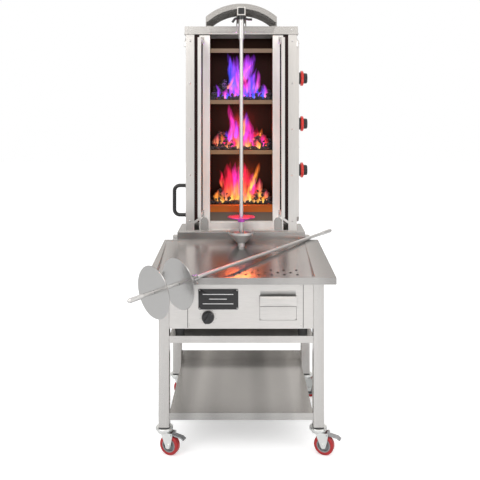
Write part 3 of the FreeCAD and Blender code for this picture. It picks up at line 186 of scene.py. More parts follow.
def brushedSteel(name, bright, stretch, rough=0.30, bump=0.06, tint=grey(1.0), reflectionBands=0.0):
    # metal with fine scratches along one way: stretch is small along the scratches; bands darken it in
    # wide soft streaks that change along X alone, a painted reflection of the studio
    material, tree, shader = newMaterial(name)
    setShader(shader, Metallic=0.88, Roughness=rough)
    fine = grainNodes(tree, stretch, 22.0)
    tone = ramp(tree, fine.outputs["Fac"], [(0.3, tuple(np.multiply(tint, bright * 0.95))),
                                             (0.7, tuple(np.multiply(tint, bright * 1.04)))])
    # painted reflection: wide soft streaks that stand in for the studio's reflections in the sheet
    wide = grainNodes(tree, (1.0, 0.04, 0.04), 7.0, 1.0)
    streak = ramp(tree, wide.outputs["Fac"], [(0.36, grey(1.0 - reflectionBands)), (0.64, grey(1.0))])
    reflectionBanded = multiplied(tree, tone.outputs["Color"], streak.outputs["Color"])
    tree.links.new(reflectionBanded, shader.inputs["Base Color"])
    addBump(tree, shader, fine.outputs["Fac"], bump, 0.0003)
    return material


def turnedDisc(name, centre, axis, bright, rough):
    # steel turned on a lathe: the scratches are rings, so the noise reads the distance from the axis,
    # which is the length of (p - c) - axis * dot(p - c, axis)
    material, tree, shader = newMaterial(name)
    setShader(shader, Metallic=1.0, Roughness=rough)
    coords = tree.nodes.new("ShaderNodeTexCoord")
    away = tree.nodes.new("ShaderNodeVectorMath")
    away.operation = "SUBTRACT"
    away.inputs[1].default_value = tuple(centre)
    along = tree.nodes.new("ShaderNodeVectorMath")
    along.operation = "PROJECT"
    along.inputs[1].default_value = tuple(axis)
    square = tree.nodes.new("ShaderNodeVectorMath")
    square.operation = "SUBTRACT"
    reach = tree.nodes.new("ShaderNodeVectorMath")
    reach.operation = "LENGTH"
    noise = tree.nodes.new("ShaderNodeTexNoise")
    noise.noise_dimensions = "1D"
    noise.inputs["Scale"].default_value = 900.0
    noise.inputs["Detail"].default_value = 3.0
    tree.links.new(coords.outputs["Object"], away.inputs[0])
    tree.links.new(away.outputs["Vector"], along.inputs[0])
    tree.links.new(away.outputs["Vector"], square.inputs[0])
    tree.links.new(along.outputs["Vector"], square.inputs[1])
    tree.links.new(square.outputs["Vector"], reach.inputs[0])
    tree.links.new(reach.outputs["Value"], noise.inputs["W"])
    tone = ramp(tree, noise.outputs["Fac"], [(0.3, grey(bright * 0.86)), (0.7, grey(bright * 1.06))])
    tree.links.new(tone.outputs["Color"], shader.inputs["Base Color"])
    addBump(tree, shader, noise.outputs["Fac"], 0.25, 0.0004)
    return material


def plainFinish(name, dark, light, rough, metal=0.0, scale=60.0, bump=0.15, coat=0.0):
    # one colour that drifts a little from dark to light, with a fine moulded or cast surface
    material, tree, shader = newMaterial(name)
    setShader(shader, Metallic=metal, Roughness=rough)
    shader.inputs["Coat Weight"].default_value = coat
    noise = grainNodes(tree, (1.0, 1.0, 1.0), scale)
    tone = ramp(tree, noise.outputs["Fac"], [(0.3, dark), (0.7, light)])
    tree.links.new(tone.outputs["Color"], shader.inputs["Base Color"])
    addBump(tree, shader, noise.outputs["Fac"], bump, 0.0006)
    return material


def heatTintAndPaintedLight(name, axis, stops):
    # steel whose colour goes by the place along one axis of the frame, from the caller's stops: these hold
    # painted fire glow on the liner and the bars and painted shade over the drawer, besides plain tint; a
    # noise adds soot
    material, tree, shader = newMaterial(name)
    setShader(shader, Metallic=0.85, Roughness=0.36)
    coords = tree.nodes.new("ShaderNodeTexCoord")
    split = tree.nodes.new("ShaderNodeSeparateXYZ")
    tree.links.new(coords.outputs["Object"], split.inputs["Vector"])
    first, last = stops[0][0], stops[-1][0]
    spread = tree.nodes.new("ShaderNodeMapRange")
    spread.inputs["From Min"].default_value = first
    spread.inputs["From Max"].default_value = last
    tree.links.new(split.outputs[axis], spread.inputs["Value"])
    shares = [((place - first) / (last - first), colour) for place, colour in stops]
    tone = ramp(tree, spread.outputs["Result"], shares)
    noise = grainNodes(tree, (1.0, 1.0, 0.3), 14.0)
    soot = ramp(tree, noise.outputs["Fac"], [(0.3, (0.55, 0.50, 0.46)), (0.65, (1.0, 1.0, 1.0))])
    stained = multiplied(tree, tone.outputs["Color"], soot.outputs["Color"], 0.35)
    tree.links.new(stained, shader.inputs["Base Color"])
    addBump(tree, shader, noise.outputs["Fac"], 0.1, 0.0006)
    return material


def darkGlass(name):
    material, tree, shader = newMaterial(name)
    setShader(shader, Roughness=0.16, IOR=1.45)
    shader.inputs["Specular IOR Level"].default_value = 0.2
    noise = grainNodes(tree, (1.0, 1.0, 0.2), 6.0)
    tone = ramp(tree, noise.outputs["Fac"], [(0.3, (0.010, 0.006, 0.006)), (0.75, (0.035, 0.012, 0.010))])
    tree.links.new(tone.outputs["Color"], shader.inputs["Base Color"])
    return material


def coalFinish(name):
    # black crusty coal with a few glowing cracks between the darker crust
    material, tree, shader = newMaterial(name)
    setShader(shader, Roughness=0.75)
    crust = grainNodes(tree, (1.0, 1.0, 1.0), 90.0, 8.0)
    tone = ramp(tree, crust.outputs["Fac"], [(0.35, (0.004, 0.004, 0.005)), (0.7, (0.055, 0.052, 0.055))])
    tree.links.new(tone.outputs["Color"], shader.inputs["Base Color"])
    glow = grainNodes(tree, (1.0, 1.0, 1.6), 30.0, 4.0)
    heat = ramp(tree, glow.outputs["Fac"], [(0.63, (0.0, 0.0, 0.0)), (0.70, (0.8, 0.05, 0.02)),
                                            (0.80, (1.0, 0.35, 0.06))])
    tree.links.new(heat.outputs["Color"], shader.inputs["Emission Color"])
    shader.inputs["Emission Strength"].default_value = 0.9
    addBump(tree, shader, crust.outputs["Fac"], 0.9, 0.003)
    return material


def flameFinish(name, strength):
    # glowing gas: colour and thinness come with the mesh, and long streaks break them up
    material, tree, shader = newMaterial(name)
    setShader(shader, Roughness=1.0)
    shader.inputs["Base Color"].default_value = (0.0, 0.0, 0.0, 1.0)
    shader.inputs["Specular IOR Level"].default_value = 0.0
    colour = tree.nodes.new("ShaderNodeAttribute")
    colour.attribute_name = "flameColour"
    tree.links.new(colour.outputs["Color"], shader.inputs["Emission Color"])
    shader.inputs["Emission Strength"].default_value = strength
    streak = grainNodes(tree, (1.0, 1.0, 0.16), 130.0, 2.0)
    broken = ramp(tree, streak.outputs["Fac"], [(0.34, (0.25, 0.25, 0.25)), (0.62, (1.0, 1.0, 1.0))])
    seen = tree.nodes.new("ShaderNodeMath")
    seen.operation = "MULTIPLY"
    tree.links.new(colour.outputs["Alpha"], seen.inputs[0])
    tree.links.new(broken.outputs["Color"], seen.inputs[1])
    tree.links.new(seen.outputs["Value"], shader.inputs["Alpha"])
    return material


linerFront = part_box("firebox_liner")[0][1]
spareCentre, spareLong = centreOf("spare_rod"), np.subtract(*reversed(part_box("spare_rod")))
# the bands of these steels are painted reflection streaks, strongest on the shelf and the worktop
sheetSteel = brushedSteel("sheetSteel", 0.58, (1.0, 1.0, 30.0), 0.27, reflectionBands=0.12)
shelfSteel = brushedSteel("shelfSteel", 0.52, (1.0, 20.0, 20.0), 0.22, reflectionBands=0.42)
panelSteel = brushedSteel("panelSteel", 0.64, (1.0, 1.0, 24.0), 0.33, reflectionBands=0.05)
towerSteel = brushedSteel("towerSteel", 0.74, (30.0, 30.0, 1.0), 0.28, reflectionBands=0.08)
topSteel = brushedSteel("topSteel", 0.45, (1.5, 30.0, 30.0), 0.25, reflectionBands=0.30)
tubeSteel = brushedSteel("tubeSteel", 0.57, (30.0, 30.0, 1.0), 0.25, reflectionBands=0.15)
archSteel = brushedSteel("archSteel", 0.44, (1.0, 8.0, 8.0), 0.24, 0.02)
bracketSteel = brushedSteel("bracketSteel", 0.40, (8.0, 8.0, 1.0), 0.24, 0.02)
turnedSteel = plainFinish("turnedSteel", grey(0.62), grey(0.64), 0.42, 0.9, 2.0, 0.0)
rosySteel = brushedSteel("rosySteel", 0.66, (6.0, 1.0, 1.0), 0.35, 0.0, (0.80, 0.15, 0.80))
zincPlate = brushedSteel("zincPlate", 0.76, (1.0, 1.0, 1.0), 0.30, 0.02, (0.97, 1.0, 1.0))
discSteel = turnedDisc("discSteel", spareCentre, spareLong / np.linalg.norm(spareLong), 0.46, 0.20)
# painted shade over the drawer: near black just above it, lighter upwards
drawerShadeSteel = heatTintAndPaintedLight("drawerShadeSteel", "Z", [(0.592, (0.05, 0.05, 0.05)), (0.600, (0.30, 0.30, 0.29)),
                                              (0.612, (0.60, 0.59, 0.58))])
# the liner's colours by the depth behind its front, and the cross bars' by their height over the floor;
# the liner's orange inside its front flange is painted fire glow, darker towards the back
linerGlowTints = [(0.0, (0.95, 0.94, 0.92)), (0.003, (0.94, 0.93, 0.91)), (0.005, (0.34, 0.10, 0.022)),
              (0.07, (0.22, 0.045, 0.010)), (0.105, (0.05, 0.012, 0.005)), (0.112, (0.020, 0.007, 0.004))]
linerGlowSteel = heatTintAndPaintedLight("linerGlowSteel", "Y", [(linerFront + deep, colour) for deep, colour in linerGlowTints])
# the orange band from 0.840 to 0.866 is painted fire glow
barTintAndGlowSteel = heatTintAndPaintedLight("barTintAndGlowSteel", "Z", [
    (0.755, (0.92, 0.91, 0.89)), (0.7955, (0.90, 0.88, 0.86)), (0.798, (0.20, 0.16, 0.13)),
    (0.836, (0.15, 0.11, 0.09)), (0.840, (0.50, 0.13, 0.02)), (0.866, (0.42, 0.10, 0.02)),
    (0.880, (0.10, 0.04, 0.02)), (1.06, (0.30, 0.18, 0.10)), (1.56, (0.26, 0.19, 0.14))])
burnerSteel = plainFinish("burnerSteel", (0.10, 0.09, 0.085), (0.22, 0.19, 0.17), 0.5, 0.8)
redTyre = plainFinish("redTyre", (0.30, 0.004, 0.006), (0.42, 0.007, 0.009), 0.38, scale=120.0, bump=0.05,
                      coat=0.2)
pedalGrey = plainFinish("pedalGrey", (0.30, 0.30, 0.31), (0.42, 0.42, 0.43), 0.32, 0.6, 90.0, 0.05)
redRing = plainFinish("redRing", (0.60, 0.015, 0.01), (0.72, 0.03, 0.02), 0.28, scale=80.0, bump=0.05,
                      coat=0.4)
greyHub = plainFinish("greyHub", (0.20, 0.20, 0.205), (0.30, 0.30, 0.31), 0.45)
blackPlastic = plainFinish("blackPlastic", (0.008, 0.008, 0.009), (0.022, 0.022, 0.024), 0.32, 0.0,
                           150.0, 0.08)
blackRubber = plainFinish("blackRubber", (0.010, 0.010, 0.010), (0.024, 0.024, 0.024), 0.7, scale=180.0)
motorEnamel = plainFinish("motorEnamel", (0.06, 0.065, 0.07), (0.10, 0.105, 0.11), 0.4)
yellowBrass = plainFinish("yellowBrass", (0.52, 0.34, 0.10), (0.66, 0.46, 0.16), 0.3, 1.0)
windowGlass = darkGlass("windowGlass")
hotCoal = coalFinish("hotCoal")
plateBlack = plainFinish("plateBlack", (0.006, 0.006, 0.007), (0.015, 0.015, 0.016), 0.25, 0.0, 200.0, 0.03)
whitePaint = plainFinish("whitePaint", (0.70, 0.70, 0.70), (0.80, 0.80, 0.80), 0.4, 0.0, 90.0, 0.03)
print("stage: finishes made")

# which node wears which finish; a name that ends in _ stands for all the nodes that start with it
wears = (
    (tubeSteel, "stand_legs"), (shelfSteel, "lower_shelf"), (rosySteel, "spit_disc"),
    (discSteel, "spare_discs"), (blackRubber, "rubber_feet"), (motorEnamel, "gear_motor"),
    (sheetSteel, "upper_shelf drawer_box tower_cap wing_brackets"), (topSteel, "worktop_tray rear_deck"),
    (panelSteel, "base_housing front_panel drawer_front"), (archSteel, "spit_arch"),
    (towerSteel, "tower_shell top_arm wing_left wing_right service_cover"), (linerGlowSteel, "firebox_liner"),
    (zincPlate, "caster_heads drawer_runners motor_bracket caster_fork_"), (barTintAndGlowSteel, "burner_partitions"),
    (turnedSteel, "spit_cup spit_rod top_sleeve spare_rod"), (burnerSteel, "burner_tubes arm_guide"),
    (blackPlastic, "leg_plugs control_knob control_switch tower_handle lock_lever valve_knob_"),
    (yellowBrass, "gas_manifold gas_valves"), (windowGlass, "wing_glass_ side_windows"),
    (redTyre, "caster_tyre_"), (greyHub, "caster_hub_"), (pedalGrey, "brake_pedal_"),
)
for finish, worn in wears:
    for word in worn.split():
        for name in (word,) if word in nodes else [node for node in nodes if node.startswith(word)]:
            data = nodes[name].data
            if not data.materials:
                data.materials.append(finish)
            for number in range(len(data.materials)):
                data.materials[number] = finish
print("stage: frame dressed")


# Coals: crusted lumps heaped on each bed, higher at the sides than in the middle

coalSize = {"pitch": 0.0175, "level": 0.0150, "size": 0.0132, "rough": 0.24, "rows": 3, "depth": 0.044,
            "half": 0.127, "lift": 0.008, "shake": 0.004, "bed": 0.020, "sides": (0.080, 0.040)}
heaps = ({"left": 0.040, "right": 0.058}, {"left": 0.056, "right": 0.060}, {"left": 0.068, "right": 0.044})
coalLow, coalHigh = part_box("coal_beds")
coalMiddle = (coalLow[0] + coalHigh[0]) / 2


def heapHeight(x, heap):
    # bed + left * exp(-((x + a) / w) ^ 2) + right * exp(-((x - a) / w) ^ 2)
    place, width = coalSize["sides"]
    return (coalSize["bed"] + heap["left"] * np.exp(-((x + place) / width) ** 2)
            + heap["right"] * np.exp(-((x - place) / width) ** 2))


def coalLumps(floorHeight, index):
    # each lump is a flattened sphere, longest along X, pushed in and out by products of sines of its two
    # angles with its own phases, so no two lumps are alike
    random = np.random.default_rng(11 + index)
    pitch, level, half = coalSize["pitch"], coalSize["level"], coalSize["half"]
    lift, shake = coalSize["lift"], coalSize["shake"]
    centres = []
    for row in range(coalSize["rows"]):
        for x in np.arange(0.5 * pitch * (row % 2) - half, half + 0.001, pitch):
            tall = heapHeight(x, heaps[index]) * (0.62 + 0.19 * row)
            for step in range(max(1, round(tall / level))):
                y = coalLow[1] + lift + coalSize["depth"] * (row + 0.25 * min(step, 2)) / coalSize["rows"]
                x0 = coalMiddle + x + random.uniform(-shake, shake)
                centres.append((x0, y, floorHeight + lift + step * level))
    count = len(centres)
    u = np.linspace(0, 2 * math.pi, 18, endpoint=False)[None, :, None]
    v = np.linspace(0.0, math.pi, 11)[None, None, :]
    phase = random.uniform(0, 2 * math.pi, (count, 4))[:, :, None, None]
    broad = np.sin(3 * u + phase[:, 0]) * np.sin(2 * v + phase[:, 1])
    fine = np.sin(5 * u + phase[:, 2]) * np.sin(v) * np.sin(4 * v + phase[:, 3])
    push = 1 + coalSize["rough"] * broad + 0.6 * coalSize["rough"] * fine
    size = coalSize["size"] * random.uniform(0.75, 1.1, (count, 1, 1))
    out = size * push
    shape = np.stack([out * np.sin(v) * np.cos(u), out * np.sin(v) * np.sin(u) * 0.85,
                      out * np.cos(v) * 0.8 + 0 * u], axis=-1)
    points = np.array(centres)[:, None, None, :] + shape
    points[..., 2] = np.maximum(points[..., 2], floorHeight + 0.0006)
    points[..., 0] = np.clip(points[..., 0], coalLow[0], coalHigh[0])
    points[..., 1] = np.maximum(points[..., 1], coalLow[1])
    return points[:, :, ::-1]


def bedFloors():
    # the undersides of the three beds, read from the coal solids themselves
    heights = np.array([vertex.co.z for vertex in nodes["coal_beds"].data.vertices])
    levels = np.unique(np.round(heights, 4))
    gaps = np.where(np.diff(levels) > 0.1)[0]
    return [levels[0]] + [levels[gap + 1] for gap in gaps]


floors = bedFloors()
for number, floorHeight in enumerate(floors):
    lumps = addGrids("coals_%d" % (number + 1), coalLumps(floorHeight, number), hotCoal, "tower")
    if number == 0:
        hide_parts("coal_beds")
print("stage: coals laid", [round(float(floor), 3) for floor in floors])


# Flames: soft-edged tongues over each bed, tall ones where they stand in the fire, and a low row at the
# foot. A tall one has its hue, its place along X, its foot's and its own height, its width and its lean

flameHues = {
    "blue": ((0.04, 0.16, 1.0), (0.08, 0.08, 1.0), (0.25, 0.05, 0.9)),
    "violet": ((0.45, 0.12, 1.0), (0.40, 0.07, 0.95), (0.30, 0.03, 0.8)),
    "pink": ((0.95, 0.25, 0.45), (0.80, 0.08, 0.65), (0.50, 0.04, 0.75)),
    "magenta": ((0.95, 0.10, 0.40), (0.90, 0.04, 0.45), (0.95, 0.03, 0.25)),
    "ember": ((1.0, 0.55, 0.25), (1.0, 0.25, 0.12), (0.95, 0.06, 0.20)),
    "orange": ((1.0, 0.62, 0.14), (1.0, 0.34, 0.05), (1.0, 0.12, 0.03)),
    "red": ((1.0, 0.22, 0.06), (0.95, 0.03, 0.06), (0.70, 0.01, 0.07)),
    "yellow": ((1.0, 0.85, 0.35), (1.0, 0.55, 0.10), (1.0, 0.22, 0.03)),
}
tallFlames = (
    (("orange", 0.040, 0.055, 0.128, 0.011, 0.045), ("red", -0.085, 0.070, 0.080, 0.008, -0.006),
     ("red", -0.055, 0.030, 0.150, 0.015, -0.004), ("magenta", -0.030, 0.030, 0.155, 0.013, 0.004),
     ("red", 0.018, 0.040, 0.135, 0.015, 0.004), ("magenta", 0.045, 0.030, 0.110, 0.013, 0.012),
     ("red", -0.010, 0.020, 0.120, 0.015, -0.010), ("orange", 0.026, 0.020, 0.075, 0.009, 0.016),
     ("orange", -0.070, 0.010, 0.070, 0.009, 0.014), ("ember", -0.040, 0.015, 0.090, 0.010, 0.018),
     ("red", -0.042, 0.020, 0.170, 0.012, -0.008), ("red", 0.058, 0.015, 0.085, 0.012, 0.020),
     ("red", 0.004, 0.060, 0.125, 0.012, 0.010), ("ember", 0.010, 0.010, 0.070, 0.012, -0.008),
     ("ember", 0.080, 0.008, 0.060, 0.009, 0.010), ("red", -0.062, 0.010, 0.150, 0.020, 0.010),
     ("magenta", -0.008, 0.030, 0.160, 0.018, 0.006), ("red", 0.040, 0.010, 0.140, 0.022, -0.010),
     ("ember", 0.072, 0.010, 0.105, 0.012, 0.014), ("orange", -0.018, 0.000, 0.110, 0.018, 0.004)),
    (("magenta", -0.036, 0.060, 0.145, 0.011, -0.016), ("violet", -0.024, 0.045, 0.090, 0.010, 0.004),
     ("orange", 0.008, 0.055, 0.098, 0.009, 0.016), ("orange", 0.064, 0.008, 0.088, 0.008, 0.034),
     ("magenta", -0.066, 0.015, 0.080, 0.012, 0.030), ("red", -0.030, 0.015, 0.100, 0.015, 0.020),
     ("magenta", 0.000, 0.010, 0.105, 0.015, -0.006), ("red", 0.030, 0.010, 0.075, 0.015, 0.004),
     ("red", 0.094, 0.010, 0.058, 0.010, 0.010), ("pink", -0.046, 0.030, 0.120, 0.010, 0.006),
     ("magenta", 0.018, 0.020, 0.100, 0.012, 0.006), ("ember", 0.012, 0.010, 0.060, 0.012, 0.008),
     ("violet", -0.056, 0.020, 0.060, 0.009, 0.016), ("orange", 0.048, 0.010, 0.070, 0.008, 0.026),
     ("red", -0.020, 0.010, 0.140, 0.020, -0.008), ("magenta", 0.040, 0.010, 0.130, 0.016, -0.004),
     ("violet", 0.018, 0.020, 0.150, 0.013, 0.010), ("red", 0.064, 0.005, 0.095, 0.014, 0.006),
     ("blue", -0.070, 0.010, 0.075, 0.011, 0.010)),
    (("blue", -0.034, 0.045, 0.165, 0.011, -0.022), ("violet", -0.027, 0.040, 0.155, 0.010, -0.012),
     ("pink", 0.006, 0.080, 0.125, 0.022, 0.030), ("violet", 0.020, 0.090, 0.115, 0.016, 0.040),
     ("ember", -0.004, 0.085, 0.080, 0.010, 0.060), ("violet", 0.036, 0.035, 0.100, 0.007, -0.003),
     ("pink", 0.067, 0.030, 0.105, 0.009, 0.013), ("ember", -0.066, 0.030, 0.080, 0.009, 0.042),
     ("pink", -0.014, 0.030, 0.110, 0.012, -0.006), ("pink", 0.026, 0.020, 0.090, 0.011, 0.010),
     ("blue", -0.044, 0.060, 0.140, 0.008, -0.010), ("violet", -0.012, 0.060, 0.140, 0.012, -0.004),
     ("violet", 0.012, 0.100, 0.105, 0.018, 0.016), ("blue", 0.050, 0.020, 0.070, 0.010, 0.006),
     ("ember", -0.048, 0.025, 0.070, 0.010, 0.030), ("violet", 0.052, 0.040, 0.105, 0.007, 0.012),
     ("blue", -0.026, 0.010, 0.165, 0.018, -0.012), ("magenta", 0.004, 0.010, 0.130, 0.018, 0.010),
     ("blue", 0.040, 0.010, 0.120, 0.018, 0.012), ("pink", -0.058, 0.010, 0.080, 0.012, 0.018)),
)
footFlames = (("orange", "yellow", "orange", "ember"), ("ember", "orange", "magenta", "red"),
              ("blue", "violet", "blue", "pink"))
flameSize = {"swell": 1.7, "across": 9, "up": 26, "sway": 0.005, "deep": 0.022, "strength": 1.5}
footSize = {"count": 20, "spread": 0.21, "shake": 0.3, "lift": 0.004, "tall": (0.032, 0.072),
            "wide": (0.007, 0.013), "lean": (-0.010, 0.014), "deep": 0.003}


def tongues(rows, floorHeight, depth, index):
    # a ribbon of half width swell * wide * 1.9 * (h + 0.03) ^ 0.5 * (1 - h) ^ 0.75 at height h from 0 to 1,
    # whose middle leans as h ^ 1.3 and sways as a sine; it thins towards its edges as (1 - s ^ 2) ^ 1.1,
    # s from -1 to 1
    random = np.random.default_rng(40 + index)
    names = [row[0] for row in rows]
    x, foot, tall, wide, lean = np.array([row[1:] for row in rows]).T[:, :, None, None]
    s = np.linspace(-1.0, 1.0, flameSize["across"])[None, :, None]
    h = np.linspace(0.0, 1.0, flameSize["up"])[None, None, :]
    phase = random.uniform(0, 2 * math.pi, len(names))[:, None, None]
    half = flameSize["swell"] * wide * 1.9 * (h + 0.03) ** 0.5 * (1 - h) ** 0.75
    middle = x + lean * h ** 1.3 + flameSize["sway"] * h * np.sin(6.0 * h + phase)
    reach = half * s * (1 + 0.15 * np.sin(11 * h + phase))
    px = np.clip(coalMiddle + middle + reach, coalLow[0], coalHigh[0])
    shake = random.uniform(-0.004, 0.004, len(names))[:, None, None]
    py = coalLow[1] + depth + shake + 0.5 * half * s ** 2 + 0 * px
    pz = floorHeight + foot + h * tall + 0 * px
    stops = np.array([flameHues[name] for name in names])
    place = np.broadcast_to(h, px.shape)
    colour = np.stack([np.array([np.interp(place[k], (0.0, 0.45, 1.0), stops[k, :, band])
                                 for k in range(len(names))]) for band in range(3)], axis=-1)
    thin = (1 - s ** 2) ** 1.1 * np.interp(place, (0.0, 0.12, 0.6, 1.0), (0.25, 1.0, 0.8, 0.0))
    core = 0.75 + 0.5 * (1 - s ** 2) ** 3
    colour = np.concatenate([colour * core[..., None], thin[..., None]], axis=-1)
    return np.stack([px, py, pz], axis=-1), colour


gas = flameFinish("flameGas", flameSize["strength"])
for number, floorHeight in enumerate(floors):
    random = np.random.default_rng(90 + number)
    points, colours = tongues(tallFlames[number], floorHeight, flameSize["deep"], number)
    addGrids("flames_%d" % (number + 1), points, gas, "tower", wrapU=False, colours=colours)
    count, spread, shake = footSize["count"], footSize["spread"], footSize["shake"]
    low = [(footFlames[number][k % 4], spread * ((k + random.uniform(-shake, shake)) / (count - 1) - 0.5),
            footSize["lift"], random.uniform(*footSize["tall"]), random.uniform(*footSize["wide"]),
            random.uniform(*footSize["lean"])) for k in range(count)]
    points, colours = tongues(low, floorHeight, footSize["deep"], 20 + number)
    addGrids("flame_feet_%d" % (number + 1), points, gas, "tower", wrapU=False, colours=colours)
print("stage: flames lit")


# Casters: soft-edged tyres with a shallow groove

tyreShape = {"radius": 0.0375, "width": 0.025, "hub": 0.026, "round": 0.006, "groove": 0.0008}


def jointNamed(name):
    return next(joint for joint in frame["joints"] if joint["name"] == name)


for corner in ("front_left", "front_right", "rear_left", "rear_right"):
    roll = jointNamed("wheel_" + corner + "_roll")
    centre, axle = np.array(roll["pos_m"]), np.array(roll["axis"])
    half, edge = tyreShape["width"] / 2, tyreShape["round"]
    outer = tyreShape["radius"]
    turn = np.linspace(0, math.pi / 2, 7)
    right = np.stack([outer - edge + edge * np.cos(turn), half - edge + edge * np.sin(turn)], axis=-1)
    left = right[::-1] * [1, -1]
    bottom = outer - tyreShape["groove"]
    tread = [(outer, -0.004), (bottom, -0.0028), (bottom, 0.0028), (outer, 0.004)]
    inner = tyreShape["hub"] - 0.0002
    profile = np.concatenate([[(inner, -half + 0.001), (inner + 0.002, -half)], left, tread, right,
                              [(inner + 0.002, half), (inner, half - 0.001), (inner, -half + 0.001)]])
    grid = lathe(profile, centre, axle, 72)
    tyre = addGrids("tyre_" + corner, grid[None], redTyre, "wheel_" + corner)
    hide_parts("caster_tyre_" + corner)


# Knobs: a red ring and a white dot on each gas knob

ringShape = {"radius": 0.0335, "proud": 0.0006, "length": 0.012, "start": 0.010, "knob": 0.040}
dotShape = {"rise": 0.013, "sink": 0.0003,
            "profile": ((0.0, 0.0), (0.0020, 0.0), (0.0024, 0.0004), (0.0020, 0.0009), (0.0, 0.0009))}
for place in ("top", "middle", "bottom"):
    node = "valve_knob_" + place
    low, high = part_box(node)
    axle = jointNamed(node + "_turn")["pos_m"]
    start = high[0] - ringShape["knob"] + ringShape["start"]
    length, radius = ringShape["length"], ringShape["radius"] + ringShape["proud"]
    profile = [(0.024, -0.0004), (radius - 0.003, -0.0004), (radius, 0.0022), (radius, length - 0.0024),
               (radius - 0.0028, length + 0.0005), (0.0245, length + 0.0005)]
    ring = lathe(profile, (start, axle[1], axle[2]), (1, 0, 0), 64)
    addGrids("red_ring_" + place, ring[None], redRing, node)
    spot = (high[0] - dotShape["sink"], axle[1], axle[2] + dotShape["rise"])
    dot = lathe(dotShape["profile"], spot, (1, 0, 0), 20)
    addGrids("knob_dot_" + place, dot[None], whitePaint, node)


# Screws: one pan head, placed wherever a real one sits

screwRows = {"post": (0.80, 1.00, 1.20, 1.40, 1.585), "back": (0.79, 1.0, 1.21, 1.42, 1.60),
             "cover": (0.83, 1.12, 1.32), "postX": 0.2235, "edge": 0.012}


def panHead(name, spots, axis, body, radius=0.0045, tall=0.0026):
    # a domed head: radius r * sin(t), height tall * cos(t), closed at the top, one grid per screw
    turn = np.linspace(math.pi / 2, 0.0, 7)
    profile = np.stack([radius * np.sin(turn), tall * np.cos(turn)], axis=-1)
    profile = np.concatenate([[(radius, -0.0004)], profile])
    grids = [lathe(profile, spot, axis, 20) for spot in spots]
    addGrids(name, grids, turnedSteel, body)


shellLow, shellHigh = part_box("tower_shell")
panelLow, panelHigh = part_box("front_panel")
capLow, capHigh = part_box("tower_cap")
coverLow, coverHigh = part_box("service_cover")
towerFront = shellLow[1]
middleX = (shellLow[0] + shellHigh[0]) / 2  # the spit and the liner stand in the tower's middle too
edge = screwRows["edge"]
postXs = [middleX + side * screwRows["postX"] for side in (-1, 1)]
panelXs, panelZs = (panelLow[0] + 0.008, panelHigh[0] - 0.008), (panelLow[2] + edge, panelHigh[2] - edge)
coverYs, coverZs = (coverLow[1] + 0.010, coverHigh[1] - 0.010), (*screwRows["cover"], coverHigh[2] - edge)
capXs, capZ = (capLow[0] + 0.03, capHigh[0] - 0.03), (capLow[2] + capHigh[2]) / 2 + 0.002
backXs = (shellLow[0] + edge, middleX, shellHigh[0] - edge)
panHead("post_screws", [(x, towerFront, z) for x in postXs for z in screwRows["post"]], (0, -1, 0), "tower")
panHead("panel_screws", [(x, panelLow[1], z) for x in panelXs for z in panelZs], (0, -1, 0), "stand")
panHead("cover_screws", [(coverHigh[0], y, z) for y in coverYs for z in coverZs], (1, 0, 0), "tower",
        0.004, 0.0024)
panHead("cap_screws", [(x, capLow[1] + 0.002, capZ) for x in capXs], (0, -1, 0), "tower", 0.0035, 0.002)
panHead("back_screws", [(x, shellHigh[1], z) for x in backXs for z in screwRows["back"]], (0, 1, 0),
        "tower")
print("stage: screws set")


# Flat sheet forms: an outline in X and Z with a thickness

def roundedOutline(left, right, low, high, corner, steps=8):
    turn = np.linspace(0, math.pi / 2, steps)
    middles = ((right - corner, high - corner), (left + corner, high - corner),
               (left + corner, low + corner), (right - corner, low + corner))
    arcs = []
    for number, (cx, cz) in enumerate(middles):
        angle = turn + number * math.pi / 2
        arcs.append(np.stack([cx + corner * np.cos(angle), cz + corner * np.sin(angle)], axis=-1))
    return np.concatenate(arcs)


def slab(name, outline, front, thick, finish, body, lean=0.0):
    # an outline in X and Z carried from the back edge, over a small bevel, to the middle of its face;
    # with lean its low end stands that much further forward
    outline = np.asarray(outline, dtype=float)
    middle = outline.mean(axis=0)
    low, high = outline[:, 1].min(), outline[:, 1].max()
    bevel = min(thick * 0.4, 0.0004)
    inner = 1 - 2 * bevel / (high - low)
    layers = []
    for share, y in ((1.0, front + thick), (1.0, front + bevel), (inner, front), (0.0, front)):
        ring = middle + (outline - middle) * share
        forward = lean * (high - ring[:, 1]) / (high - low)
        layers.append(np.stack([ring[:, 0], y - forward, ring[:, 1]], axis=-1))
    addGrids(name, np.stack(layers, axis=1)[None], finish, body)


def plate(name, xs, zs, corner, front, thick, finish, body):
    # a flat plate between two places along X and two heights, with rounded corners
    slab(name, roundedOutline(*xs, *zs, corner), front, thick, finish, body)


# Name plate: left bare, a black plate with a silver border, rivets and plain ruled lines

plateShape = {"xs": (-0.1615, -0.0085), "zs": (0.538, 0.619), "corner": 0.008, "border": 0.0022,
              "rivet": 0.007}
ruledLines = {"long": (0.018, 0.132, (0.5965, 0.5615)), "short": (0.042, 0.108, (0.5790,)), "half": 0.0012}
left, right = middleX + plateShape["xs"][0], middleX + plateShape["xs"][1]
low, high = plateShape["zs"]
face, border, corner = panelLow[1], plateShape["border"], plateShape["corner"]
plate("plate_border", (left, right), (low, high), corner, face - 0.0010, 0.0010, turnedSteel, "stand")
plate("plate_face", (left + border, right - border), (low + border, high - border), corner - border,
      face - 0.0014, 0.0005, plateBlack, "stand")
half = ruledLines["half"]
for kind in ("long", "short"):
    start, end, rows = ruledLines[kind]
    for number, z in enumerate(rows):
        plate("plate_line_%s_%d" % (kind, number + 1), (left + start, left + end), (z - half, z + half),
              0.0011, face - 0.0017, 0.0004, whitePaint, "stand")
inset = plateShape["rivet"]
rivets = [(x, face - 0.0013, z) for x in (left + inset, right - inset) for z in (low + inset, high - inset)]
panHead("plate_rivets", rivets, (0, -1, 0), "stand", 0.0022, 0.0014)

